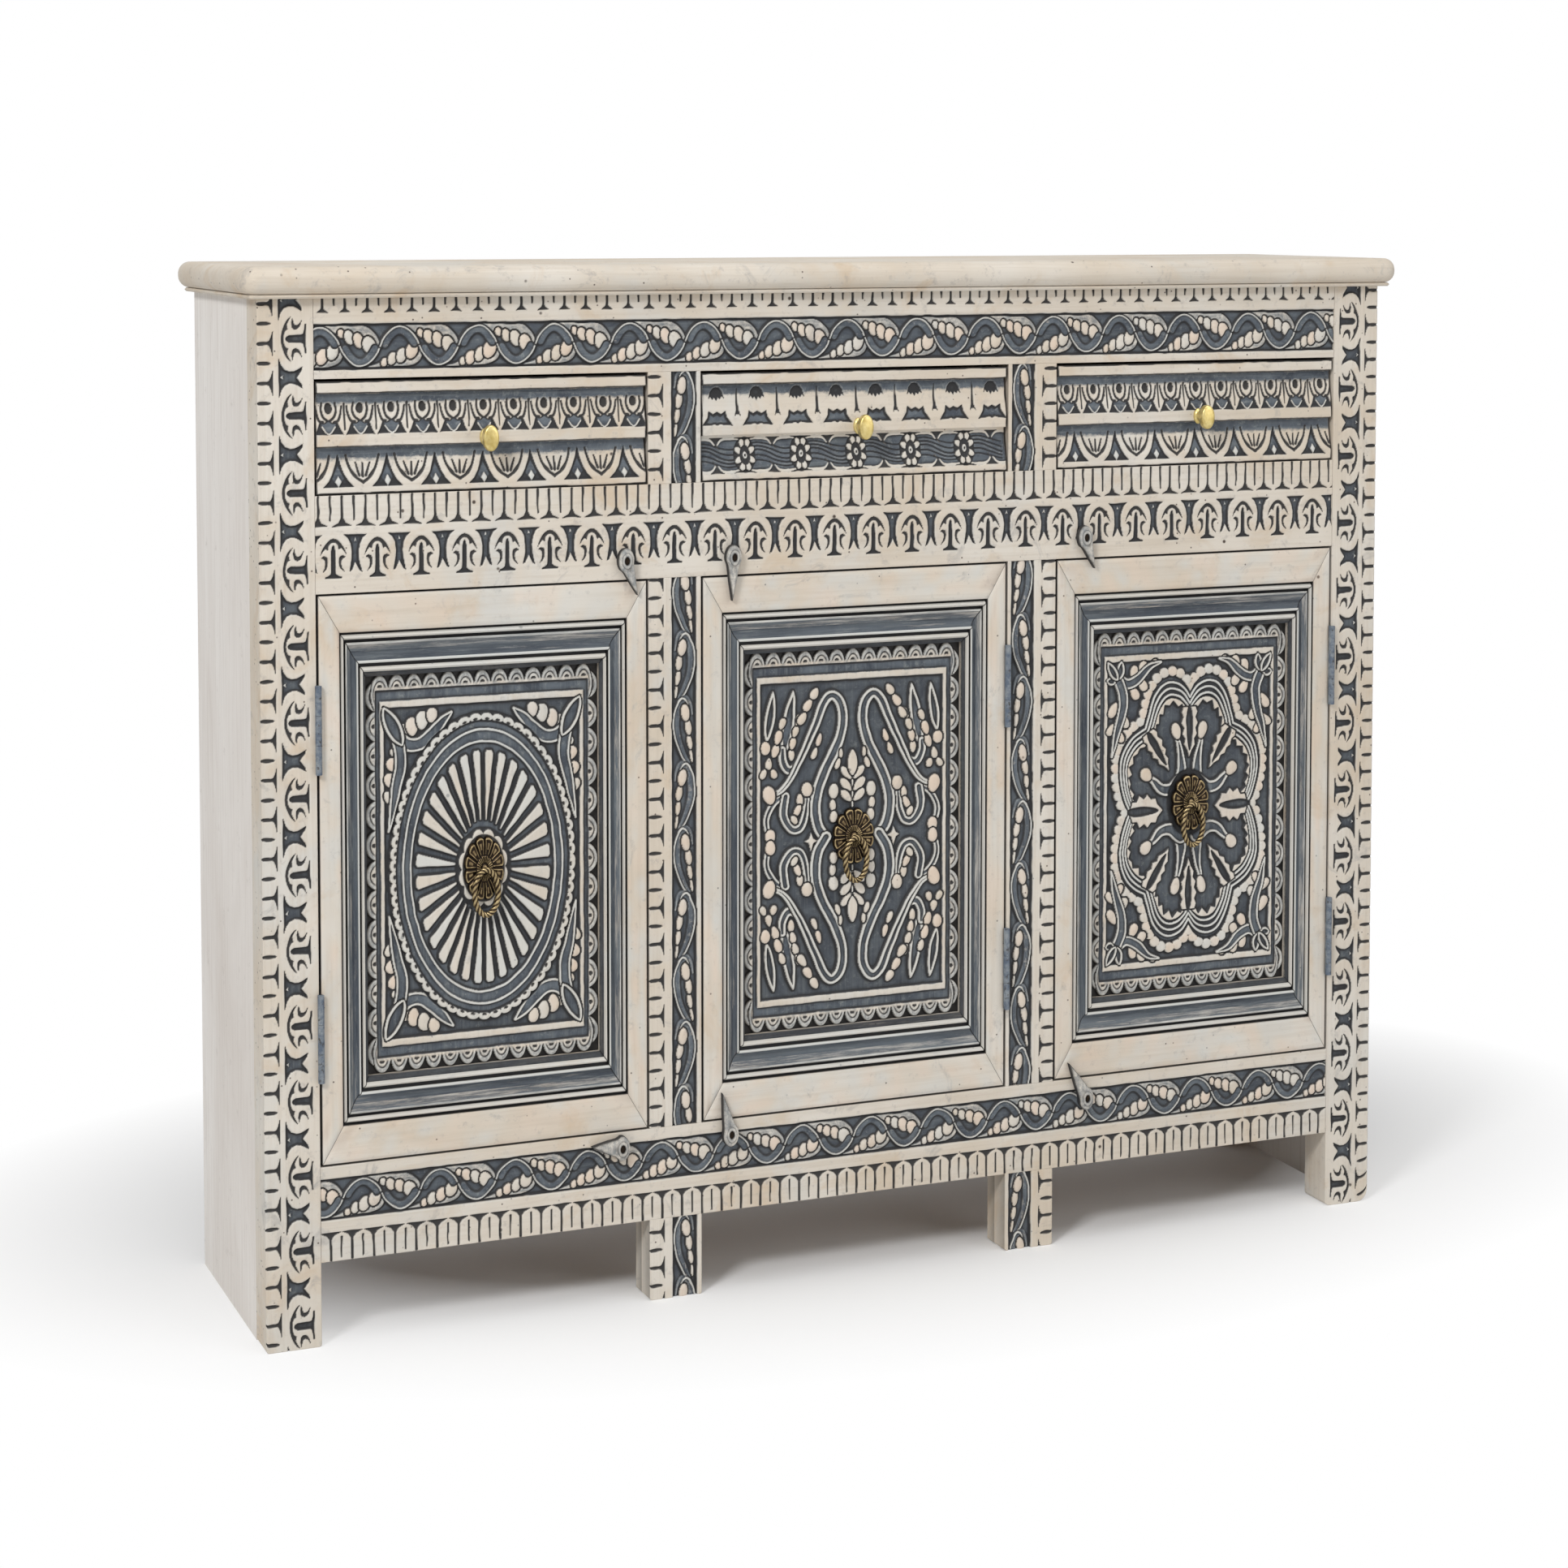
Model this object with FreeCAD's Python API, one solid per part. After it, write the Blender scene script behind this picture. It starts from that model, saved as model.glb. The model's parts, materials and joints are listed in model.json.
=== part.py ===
import FreeCAD, Part
import math
import os

# Carved cabinet with three doors under three drawers.
# X runs along the front, to the right as one faces it, Y to the back and Z up. Everything is drawn
# with Y = 0 on the front plane of the posts and moved at the end, so that the origin lies on the
# floor under the middle of the whole cabinet.

os.makedirs("parts", exist_ok=True)

vec = FreeCAD.Vector
X_AXIS = vec(1, 0, 0)
Y_AXIS = vec(0, 1, 0)

# Heights of the front, from the floor up
leg_height = 75.0
bottom_rail_height = 85.0
door_opening_height = 505.5
mid_rail_height = 85.5
drawer_opening_height = 101.5
top_rail_height = 70.0
bead_height = 3.5
top_thickness = 24.0

# Widths and depths of the carcass
body_width = 1125.0
body_depth = 255.0
post_width = 49.5
post_depth = 38.0
stile_width = 51.0
middle_bay_width = 311.0
rail_thickness = 22.0
side_panel_thickness = 12.0
back_panel_thickness = 10.0
rear_post_size = 30.0
board_thickness = 12.0
shelf_height = 242.0

# Top board and the bead board under it
top_side_overhang = 15.0
top_front_overhang = 16.0
top_edge_flat = 2.0
top_corner_extra = 2.0
bead_side_overhang = 9.0
bead_front_overhang = 10.0
bead_edge_flat = 0.5
bead_corner_extra = 3.0

# Joinery of rails and posts
tenon_length = 20.0
tenon_thickness = 8.0
tenon_shoulder = 10.0
post_wear_radius = 2.5
right_foot_outer_wear = 12.0
right_foot_inner_wear = 6.0

# Sunk bands of the carving: their depth, and their place above a rail or in from an edge
band_depth = 2.5
top_band_rise = 7.5
top_band_height = 40.0
mid_band_rise = 14.5
mid_band_height = 36.5
bottom_band_rise = 37.0
bottom_band_height = 36.6
post_band_inset = 21.0
post_band_width = 21.0
post_band_foot = 30.0
left_stile_band_inset = 21.0
left_stile_band_width = 22.0
right_stile_band_inset = 7.0
right_stile_band_width = 24.0

# Grooves between the planks of the back
plank_count = 9
plank_groove_width = 4.0
plank_groove_depth = 2.0

# Strips inside the carcass
cleat_size = 20.0
guide_height = 20.0
kicker_thickness = 12.0
kicker_overlap = 10.5
stop_length = 60.0
door_stop_depth = 10.0
door_stop_height = 8.0
drawer_stop_depth = 10.0
drawer_stop_height = 5.0
stop_clearance = 0.3

# Drawers
drawer_side_gap = 1.5
drawer_bottom_gap = 1.0
drawer_top_gap = 2.5
drawer_front_thickness = 18.0
drawer_wall = 9.0
drawer_back_clearance = 27.0
drawer_run_clearance = 0.3
drawer_side_drop = 1.0
drawer_bottom_thickness = 5.0
drawer_bottom_rise = 7.7
drawer_groove_depth = 4.5
front_foot_strip = 8.0
front_lower_wave = 33.0
front_middle_strip = 11.0
front_upper_wave = 36.0
front_wave_depth = 5.0
wave_depth_share = 0.72
wave_height_share = 0.42

# Drawer knobs
knob_width = 14.5
knob_height = 24.0
knob_reach = 22.0
knob_shank_radius = 2.2
knob_sides = 14
knob_shank_sides = 8
knob_nut_sides = 6
knob_nut_radius = 4.0
knob_nut_thickness = 2.5
knob_reach_shares = (0.0, 0.09, 0.18, 0.52, 0.68, 0.84, 0.95, 1.0)
knob_size_shares = (0.62, 0.62, 0.36, 0.36, 1.0, 1.0, 0.80, 0.40)

# Doors: mitred frame, mitred moulding and carved panel
door_gap = 1.5
door_thickness = 20.0
door_stile_width = 19.5
door_rail_width = 33.5
moulding_width = 24.0
moulding_height = 40.0
moulding_relief = 12.0
panel_thickness = 6.0
panel_tongue = 5.0

# Moulding section, from its outer edge in: share of its breadth, and share of its relief from the panel
# to its crown. A bow has a third pair, for the middle of its round.
moulding_facets = 4
moulding_section_shares = (
    ((0.0, 0.93), (0.10, 0.93)),
    ((0.10, 0.93), (0.14, 1.09), (0.18, 0.93)),
    ((0.18, 0.93), (0.20, 0.85)),
    ((0.20, 0.85), (0.22, 0.91)),
    ((0.22, 0.91), (0.46, 0.62), (0.70, 0.82)),
    ((0.70, 0.82), (0.77, 0.94), (0.84, 0.80)),
    ((0.84, 0.80), (0.93, 0.86), (1.0, 0.71)),
)

# Carved border of the panel
relief_height = 3.0
border_inset = 4.3
border_lobe = 2.4
border_width = 6.5
border_height = 10.0
across_lobe_count = 12
upright_lobe_count = 10
lobe_facets = 3
fillet_inset_x = 14.0
fillet_inset_z = 23.7
fillet_width_x = 3.5
fillet_width_z = 6.0
fillet_height_share = 0.8

# Carved wheel of the left door
wheel_side_clearance = 4.75
wheel_end_clearance = 9.05
wheel_rim_share = 0.87
wheel_facets = 36
spoke_count = 32
spoke_tip_share = 0.27
spoke_end_share = 0.78
spoke_gap_share = 0.28
wheel_height_share = 0.67

# Rosettes and ring pulls
pad_half_width = 22.5
pad_half_height = 33.5
pad_height = 2.0
pad_sides = 24
petal_count = 12
petal_points = 3
petal_dip_share = 0.10
rosette_height = 4.7
rosette_size_shares = (1.0, 1.0, 0.86, 0.34)
rosette_rise_shares = (0.0, 0.38, 0.70, 1.0)
eye_reach = 8.0
eye_radius = 5.6
eye_hole_radius = 3.2
eye_thickness = 2.4
eye_sides = 12
ring_half_width = 11.3
ring_half_height = 20.6
ring_wire_radius = 2.7
ring_stations = 20
ring_facets = 6

# Butt hinges
hinge_height = 78.0
hinge_top_inset = 117.0
hinge_bottom_inset = 113.5
hinge_leaf_thickness = 1.2
hinge_leaf_width = 16.0
hinge_barrel_radius = 3.0
hinge_barrel_gap = 0.3
hinge_barrel_sides = 10
hinge_pin_radius = 1.2
hinge_pin_clearance = 0.08
knuckle_count = 3
knuckle_gap = 0.3

# Turn buttons
turn_thickness = 9.0
turn_gap = 0.3
turn_length = 40.0
turn_end_radius = 11.5
turn_tip_radius = 3.0
turn_squeeze_share = 0.66
turn_sides = 11
turn_sink_sides = 8
turn_bore_radius = 2.0
turn_bore_clearance = 0.1
turn_sink_radius = 5.8
turn_sink_depth = 4.0
screw_head_radius = 3.2
screw_head_thickness = 1.8
screw_head_gap = 0.3
screw_length = 22.0
screw_sides = 8

# Each turn button: bay, above or below the doors, then shares of the turn length for its pivot from
# the free side of the bay, its pivot from the opening and its own length, and its lean in degrees
turn_place_shares = {
    "turn_upper_left": ("left", 1, 0.57, 0.44, 0.89, 27.6),
    "turn_upper_middle": ("middle", 1, 0.75, 0.41, 1.00, -2.4),
    "turn_upper_right": ("right", 1, 0.73, 0.50, 0.85, 27.8),
    "turn_lower_left": ("left", -1, 0.71, 0.34, 1.09, -84.7),
    "turn_lower_middle": ("middle", -1, 0.67, 0.31, 1.02, -17.2),
    "turn_lower_right": ("right", -1, 0.84, 0.47, 1.13, -38.1),
}

# Rosette of each door: its size, and its height above the middle of the door
rosette_sizes = {"left": (39.0, 61.0), "middle": (44.0, 56.0), "right": (43.0, 59.0)}
rosette_rises = {"left": -1.2, "middle": 0.3, "right": 5.8}

# One overrun for every cut, and the slack used to pick edges
overrun = 5.0
pick = 0.01

# Levels and planes worked out from the sizes above
rail_floor = leg_height
door_floor = rail_floor + bottom_rail_height
door_ceiling = door_floor + door_opening_height
drawer_floor = door_ceiling + mid_rail_height
drawer_ceiling = drawer_floor + drawer_opening_height
body_top = drawer_ceiling + top_rail_height
top_underside = body_top + bead_height
top_face = top_underside + top_thickness
shelf_floor = door_floor + shelf_height

body_half = body_width / 2
post_inner = body_half - post_width
stile_inner = middle_bay_width / 2
stile_outer = stile_inner + stile_width
panel_inner = body_half - side_panel_thickness
back_front = body_depth - back_panel_thickness
rear_post_inner = panel_inner - rear_post_size
rear_post_front = back_front - rear_post_size
bays = {
    "left": (-post_inner, -stile_outer),
    "middle": (-stile_inner, stile_inner),
    "right": (stile_outer, post_inner),
}
rails = {
    "bottom_rail": (rail_floor, door_floor),
    "mid_rail": (door_ceiling, drawer_floor),
    "top_rail": (drawer_ceiling, body_top),
}
panel_front = moulding_relief
panel_back = panel_front + panel_thickness
hinge_axis_y = -(hinge_barrel_radius + hinge_barrel_gap)
relief_face = panel_front - relief_height
pad_face = panel_front - pad_height
door_bottom = door_floor + door_gap
door_top = door_ceiling - door_gap
hinge_levels = (door_bottom + hinge_bottom_inset, door_top - hinge_top_inset)


def block(x0, x1, y0, y1, z0, z1):
    """A box between two opposite corners."""
    return Part.makeBox(x1 - x0, y1 - y0, z1 - z0, vec(x0, y0, z0))


def wire_of(start, steps):
    """A wire from start: each step is a point, or a pair for an arc through the first point."""
    edges = []
    here = start
    for step in steps:
        if isinstance(step, tuple):
            edges.append(Part.Arc(here, step[0], step[1]).toShape())
            here = step[1]
        else:
            edges.append(Part.makeLine(here, step))
            here = step
    return Part.Wire(edges)


def flat_face(corners):
    """A flat face with the given corners."""
    return Part.Face(Part.makePolygon(corners + corners[:1]))


def plate(points, y0, y1):
    """A plate whose outline in X and Z is a closed list of points."""
    corners = [vec(x, y0, z) for x, z in points]
    return flat_face(corners).extrude(vec(0, y1 - y0, 0))


def frame_corners(x0, x1, z0, z1):
    """The corners of a rectangle, going round."""
    return [(x0, z0), (x1, z0), (x1, z1), (x0, z1)]


def inset(rect, dx, dz):
    """A rectangle drawn in by dx at the sides and dz above and below."""
    x0, x1, z0, z1 = rect
    return (x0 + dx, x1 - dx, z0 + dz, z1 - dz)


def oval_points(cx, cz, half_x, half_z, count):
    """Points round an oval, by a formula."""
    turns = [2 * math.pi * k / count for k in range(count)]
    return [(cx + half_x * math.cos(t), cz + half_z * math.sin(t)) for t in turns]


def round_bar(x, z, radius, sides, y0, y1):
    """A bar of many flat sides, from front to back."""
    return plate(oval_points(x, z, radius, radius, sides), y0, y1)


def upright_bar(x, y, radius, sides, z0, z1):
    """A bar of many flat sides that stands upright."""
    corners = [vec(px, py, z0) for px, py in oval_points(x, y, radius, radius, sides)]
    return flat_face(corners).extrude(vec(0, 0, z1 - z0))


def eased_board(half_x, y0, y1, z0, z1, edge_flat, corner_extra, rounded):
    """A board with round front corners, and its left, front and right edges rounded or bevelled."""
    ease = (z1 - z0 - edge_flat) / 2
    board = block(-half_x, half_x, y0, y1, z0, z1)
    uprights = [e for e in board.Edges if e.BoundBox.ZLength > pick and e.BoundBox.YMax < y0 + pick]
    board = board.makeFillet(ease + corner_extra, uprights)
    rims = [e for e in board.Edges if e.BoundBox.ZLength < pick and e.BoundBox.YMin < y1 - pick]
    return board.makeFillet(ease, rims) if rounded else board.makeChamfer(ease, rims)


def worn_post(x0, x1, left_wear, right_wear):
    """An upright of the front, with the corners of its foot worn round."""
    reach = math.sqrt(0.5)
    left_mid = vec(x0 + left_wear * (1 - reach), 0, left_wear * (1 - reach))
    right_mid = vec(x1 - right_wear * (1 - reach), 0, right_wear * (1 - reach))
    outline = wire_of(vec(x0 + left_wear, 0, 0), [
        vec(x1 - right_wear, 0, 0),
        (right_mid, vec(x1, 0, right_wear)),
        vec(x1, 0, body_top),
        vec(x0, 0, body_top),
        vec(x0, 0, left_wear),
        (left_mid, vec(x0 + left_wear, 0, 0)),
    ])
    return Part.Face(outline).extrude(vec(0, post_depth, 0))


def tenon(side, z0, z1):
    """The tenon of a rail, on the side given by -1 or 1."""
    y0 = (rail_thickness - tenon_thickness) / 2
    ends = sorted((side * post_inner, side * (post_inner + tenon_length)))
    return block(ends[0], ends[1], y0, y0 + tenon_thickness, z0 + tenon_shoulder, z1 - tenon_shoulder)


def leaf_plate(bay_edge, toward, z_mid):
    """The flat part of a hinge leaf, let in flush behind the edge of the wood that carries it."""
    ends = sorted((bay_edge, bay_edge + toward * hinge_leaf_thickness))
    half = hinge_height / 2
    return block(ends[0], ends[1], 0, hinge_leaf_width, z_mid - half, z_mid + half)


def hinge_side(name):
    """-1 where a door hangs on the left edge of its bay, 1 where it hangs on the right."""
    return -1 if name == "left" else 1


def hinge_edge(name):
    """The edge of the bay on which the door hangs."""
    return bays[name][0] if hinge_side(name) < 0 else bays[name][1]


def hinge_axis_x(name):
    """The hinge line stands in the middle of the gap beside the door."""
    return hinge_edge(name) - hinge_side(name) * door_gap / 2


def hinge_leaf(name, z_mid, moving):
    """One leaf with its knuckles; the fixed one also holds the pin."""
    side = hinge_side(name)
    axis_x = hinge_axis_x(name)
    toward = -side if moving else side
    edge = axis_x + toward * door_gap / 2
    leaf = leaf_plate(edge, toward, z_mid)
    knuckle = (hinge_height - (knuckle_count - 1) * knuckle_gap) / knuckle_count
    tab_ends = sorted((edge, edge + toward * hinge_leaf_thickness))
    base = z_mid - hinge_height / 2
    solids = []
    for index in range(knuckle_count):
        if (index % 2 == 1) != moving:
            continue
        z0 = base + index * (knuckle + knuckle_gap)
        solids.append(upright_bar(axis_x, hinge_axis_y, hinge_barrel_radius, hinge_barrel_sides,
                                  z0, z0 + knuckle))
        solids.append(block(tab_ends[0], tab_ends[1], hinge_axis_y, 0, z0, z0 + knuckle))
    if moving:
        bore_radius = hinge_pin_radius + hinge_pin_clearance
        bore = Part.makeCylinder(bore_radius, hinge_height, vec(axis_x, hinge_axis_y, base))
        return leaf.multiFuse(solids).cut(bore).removeSplitter()
    solids.append(upright_bar(axis_x, hinge_axis_y, hinge_pin_radius, hinge_barrel_sides,
                              base, base + hinge_height))
    return leaf.multiFuse(solids).removeSplitter()


def leaf_recesses(name, moving):
    """Where the leaves of a door's hinges are let into the wood on one side of the gap."""
    toward = -hinge_side(name) if moving else hinge_side(name)
    edge = hinge_axis_x(name) + toward * door_gap / 2
    return [leaf_plate(edge, toward, z) for z in hinge_levels]


def front_posts():
    """The two corner posts, mortised for the rails."""
    made = {}
    for name, side in (("front_post_left", -1), ("front_post_right", 1)):
        if side < 0:
            post = worn_post(-body_half, -post_inner, post_wear_radius, post_wear_radius)
        else:
            post = worn_post(post_inner, body_half, right_foot_inner_wear, right_foot_outer_wear)
        cuts = [tenon(side, z0, z1) for z0, z1 in rails.values()]
        outer = body_half - post_band_inset
        ends = sorted((side * outer, side * (outer - post_band_width)))
        cuts.append(block(ends[0], ends[1], 0, band_depth, post_band_foot, body_top))
        cuts += leaf_recesses("left" if side < 0 else "right", False)
        made[name] = post.cut(cuts)
    return made


def mid_stiles():
    """The two middle uprights, halved over the backs of the rails."""
    made = {}
    bands = {
        "mid_stile_left": (-stile_outer, left_stile_band_inset, left_stile_band_width),
        "mid_stile_right": (stile_inner, right_stile_band_inset, right_stile_band_width),
    }
    for name, (x0, band_inset, band_width) in bands.items():
        stile = worn_post(x0, x0 + stile_width, post_wear_radius, post_wear_radius)
        cuts = [
            block(x0 - overrun, x0 + stile_width + overrun, 0, rail_thickness, z0, z1)
            for z0, z1 in rails.values()
        ]
        band_x = x0 + band_inset
        cuts.append(block(band_x, band_x + band_width, 0, band_depth, door_floor, body_top))
        if name == "mid_stile_right":
            cuts += leaf_recesses("middle", False)
        made[name] = stile.cut(cuts)
    return made


def front_rails():
    """The three rails that run from post to post, each with a sunk band for its carving."""
    bands = {
        "bottom_rail": (bottom_band_rise, bottom_band_height),
        "mid_rail": (mid_band_rise, mid_band_height),
        "top_rail": (top_band_rise, top_band_height),
    }
    made = {}
    for name, (z0, z1) in rails.items():
        rise, height = bands[name]
        rail = block(-post_inner, post_inner, 0, rail_thickness, z0, z1)
        rail = rail.multiFuse([tenon(-1, z0, z1), tenon(1, z0, z1)])
        band = block(-post_inner, post_inner, 0, band_depth, z0 + rise, z0 + rise + height)
        pilots = [screw_shank(turn) for turn in turn_place_shares]
        made[name] = rail.cut([band] + pilots)
    return made


def top_boards():
    """The thick top and the thin bead board that it lies on."""
    top = eased_board(
        body_half + top_side_overhang, -top_front_overhang, body_depth,
        top_underside, top_face, top_edge_flat, top_corner_extra, True,
    )
    bead = eased_board(
        body_half + bead_side_overhang, -bead_front_overhang, body_depth,
        body_top, top_underside, bead_edge_flat, bead_corner_extra, False,
    )
    return {"top_board": top, "top_bead_board": bead}


def side_panels():
    """The plain boards that close the two ends."""
    left = block(-body_half, -panel_inner, post_depth, body_depth, 0, body_top)
    right = block(panel_inner, body_half, post_depth, body_depth, 0, body_top)
    return {"side_panel_left": left, "side_panel_right": right}


def back_panel():
    """The back, of upright planks with a groove at each joint."""
    panel = block(-panel_inner, panel_inner, back_front, body_depth, rail_floor, body_top)
    pitch = 2 * panel_inner / plank_count
    grooves = []
    for index in range(1, plank_count):
        x = -panel_inner + index * pitch
        corners = [
            vec(x - plank_groove_width / 2, body_depth, rail_floor),
            vec(x, body_depth - plank_groove_depth, rail_floor),
            vec(x + plank_groove_width / 2, body_depth, rail_floor),
        ]
        grooves.append(flat_face(corners).extrude(vec(0, 0, body_top - rail_floor)))
    return {"back_panel": panel.cut(grooves)}


def rear_posts():
    """The two square posts in the back corners."""
    solids = [
        block(x, x + rear_post_size, rear_post_front, back_front, 0, body_top)
        for x in (-panel_inner, rear_post_inner)
    ]
    return {"rear_posts": Part.makeCompound(solids)}


def carcass_board(front, z0):
    """A level board from side to side, notched round the uprights."""
    board = block(-panel_inner, panel_inner, front, back_front, z0, z0 + board_thickness)
    uprights = [
        (-body_half, -post_inner, 0, post_depth),
        (-stile_outer, -stile_inner, 0, post_depth),
        (stile_inner, stile_outer, 0, post_depth),
        (post_inner, body_half, 0, post_depth),
        (-panel_inner, -rear_post_inner, rear_post_front, back_front),
        (rear_post_inner, panel_inner, rear_post_front, back_front),
    ]
    return board.cut([block(*plan, z0, z0 + board_thickness) for plan in uprights])


def carcass_boards():
    """The cupboard floor, the shelf and the deck under the drawers."""
    return {
        "bottom_board": carcass_board(rail_thickness, door_floor - board_thickness),
        "shelf": carcass_board(post_depth, shelf_floor),
        "drawer_deck": carcass_board(rail_thickness, drawer_floor - board_thickness),
    }


def side_cleats():
    """The strips on the end boards that carry the floor, the shelf and the deck."""
    solids = []
    for z1 in (door_floor - board_thickness, shelf_floor, drawer_floor - board_thickness):
        for x in (-panel_inner, panel_inner - cleat_size):
            solids.append(block(x, x + cleat_size, post_depth, rear_post_front, z1 - cleat_size, z1))
    return {"side_cleats": Part.makeCompound(solids)}


def runner_strips(overlap, z0, z1):
    """Strips from front to back behind the posts and the middle uprights."""
    outer = post_inner - overlap
    middle = (stile_inner - overlap, stile_outer + overlap)
    return Part.makeCompound([
        block(-panel_inner, -outer, post_depth, rear_post_front, z0, z1),
        block(-middle[1], -middle[0], post_depth, back_front, z0, z1),
        block(middle[0], middle[1], post_depth, back_front, z0, z1),
        block(outer, panel_inner, post_depth, rear_post_front, z0, z1),
    ])


def drawer_runners():
    """Guides beside the drawers, and kickers over their sides that stop them tipping."""
    return {
        "drawer_guides": runner_strips(0, drawer_floor, drawer_floor + guide_height),
        "drawer_kickers": runner_strips(kicker_overlap, drawer_ceiling, drawer_ceiling + kicker_thickness),
    }


def stops():
    """Small strips that the closed doors and drawers come up against."""
    door_solids = []
    drawer_solids = []
    door_y = door_thickness + stop_clearance
    drawer_y = drawer_front_thickness + stop_clearance
    for x0, x1 in bays.values():
        a = (x0 + x1 - stop_length) / 2
        b = a + stop_length
        door_solids.append(block(a, b, door_y, door_y + door_stop_depth,
                                 door_floor, door_floor + door_stop_height))
        drawer_solids.append(block(a, b, drawer_y, drawer_y + drawer_stop_depth,
                                   drawer_floor, drawer_floor + drawer_stop_height))
    return {
        "door_stops": Part.makeCompound(door_solids),
        "drawer_stops": Part.makeCompound(drawer_solids),
    }


def wave(z0, z1):
    """The hollow of a drawer front: flush below, swept in to its deepest under the strip above."""
    swell = vec(0, front_wave_depth * wave_depth_share, z0 + (z1 - z0) * wave_height_share)
    return (swell, vec(0, front_wave_depth, z1))


def drawer_front(x0, x1, z0, z1):
    """A moulded front with two swept hollows between three flat strips."""
    lower = z0 + front_foot_strip
    lower_end = lower + front_lower_wave
    upper = lower_end + front_middle_strip
    upper_end = upper + front_upper_wave
    section = wire_of(vec(0, drawer_front_thickness, z0), [
        vec(0, 0, z0),
        vec(0, 0, lower),
        wave(lower, lower_end),
        vec(0, 0, lower_end),
        vec(0, 0, upper),
        wave(upper, upper_end),
        vec(0, 0, upper_end),
        vec(0, 0, z1),
        vec(0, drawer_front_thickness, z1),
        vec(0, drawer_front_thickness, z0),
    ])
    section.translate(vec(x0, 0, 0))
    return Part.Face(section).extrude(vec(x1 - x0, 0, 0))


def faceted_solid(rings):
    """A solid through rings of points that are scaled copies of each other, with flat sides."""
    count = len(rings[0])
    faces = [flat_face(rings[0]), flat_face(rings[-1])]
    for a, b in zip(rings, rings[1:]):
        for k in range(count):
            faces.append(flat_face([a[k], a[(k + 1) % count], b[(k + 1) % count], b[k]]))
    return Part.Solid(Part.Shell(faces))


def faceted_ring(rings):
    """A closed ring through sections of a bent bar, with triangles between them."""
    count = len(rings[0])
    faces = []
    for index, a in enumerate(rings):
        b = rings[(index + 1) % len(rings)]
        for k in range(count):
            after = (k + 1) % count
            faces.append(flat_face([a[k], a[after], b[after]]))
            faces.append(flat_face([a[k], b[after], b[k]]))
    return Part.Solid(Part.Shell(faces))


def knob(cx, cz):
    """An oval knob whose shank passes through the drawer front to a nut."""
    rings = []
    for reach, size in zip(knob_reach_shares, knob_size_shares):
        points = oval_points(cx, cz, knob_width / 2 * size, knob_height / 2 * size, knob_sides)
        rings.append([vec(x, -knob_reach * reach, z) for x, z in points])
    nut_end = drawer_front_thickness + knob_nut_thickness
    shank = round_bar(cx, cz, knob_shank_radius, knob_shank_sides, 0, nut_end)
    nut = round_bar(cx, cz, knob_nut_radius, knob_nut_sides, drawer_front_thickness, nut_end)
    return Part.makeCompound([faceted_solid(rings).fuse(shank), nut.cut(shank)])


def drawer(name):
    """One drawer: moulded front, three walls, a bottom in grooves, and its knob."""
    x0 = bays[name][0] + drawer_side_gap
    x1 = bays[name][1] - drawer_side_gap
    z0 = drawer_floor + drawer_bottom_gap
    z1 = drawer_ceiling - drawer_top_gap
    y0 = drawer_front_thickness
    y1 = back_front - drawer_back_clearance
    wall_floor = drawer_floor + drawer_run_clearance
    wall_top = z1 - drawer_side_drop
    floor_z = wall_floor + drawer_bottom_rise
    floor_top = floor_z + drawer_bottom_thickness
    knob_z = z0 + front_foot_strip + front_lower_wave + front_middle_strip / 2
    knob_x = (x0 + x1) / 2
    groove = drawer_wall - drawer_groove_depth
    floor = block(x0 + groove, x1 - groove, y0, y1, floor_z, floor_top)
    left = block(x0, x0 + drawer_wall, y0, y1, wall_floor, wall_top).cut(floor)
    right = block(x1 - drawer_wall, x1, y0, y1, wall_floor, wall_top).cut(floor)
    back = block(x0 + drawer_wall, x1 - drawer_wall, y1 - drawer_wall, y1, floor_top, wall_top)
    shank_hole = round_bar(knob_x, knob_z, knob_shank_radius, knob_shank_sides, 0, y0)
    return {
        f"drawer_front_{name}": drawer_front(x0, x1, z0, z1).cut(shank_hole),
        f"drawer_box_{name}": Part.makeCompound([left, right, back]),
        f"drawer_bottom_{name}": floor,
        f"drawer_knob_{name}": knob(knob_x, knob_z),
    }


def mitred(outer, inner, y0, y1):
    """Four pieces between two rectangles, cut on the lines from corner to corner."""
    a = frame_corners(*outer)
    b = frame_corners(*inner)
    return [plate([a[k], a[(k + 1) % 4], b[(k + 1) % 4], b[k]], y0, y1) for k in range(4)]


def moulding_run(start, across, along):
    """A straight run of moulding from its outer edge at start, across its breadth and along its side."""
    points = [start + vec(0, panel_front, 0)]
    for stretch in moulding_section_shares:
        ends = [start + across * share + vec(0, panel_front - moulding_relief * rise, 0)
                for share, rise in stretch]
        if len(ends) == 2:
            points.append(ends[0])
            continue
        bow = Part.Arc(*ends)
        first = bow.FirstParameter
        sweep = bow.LastParameter - first
        steps = [first + sweep * k / moulding_facets for k in range(moulding_facets)]
        points += [bow.value(step) for step in steps]
    points += [ends[-1], start + across + vec(0, panel_front, 0)]
    return flat_face(points).extrude(along)


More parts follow.
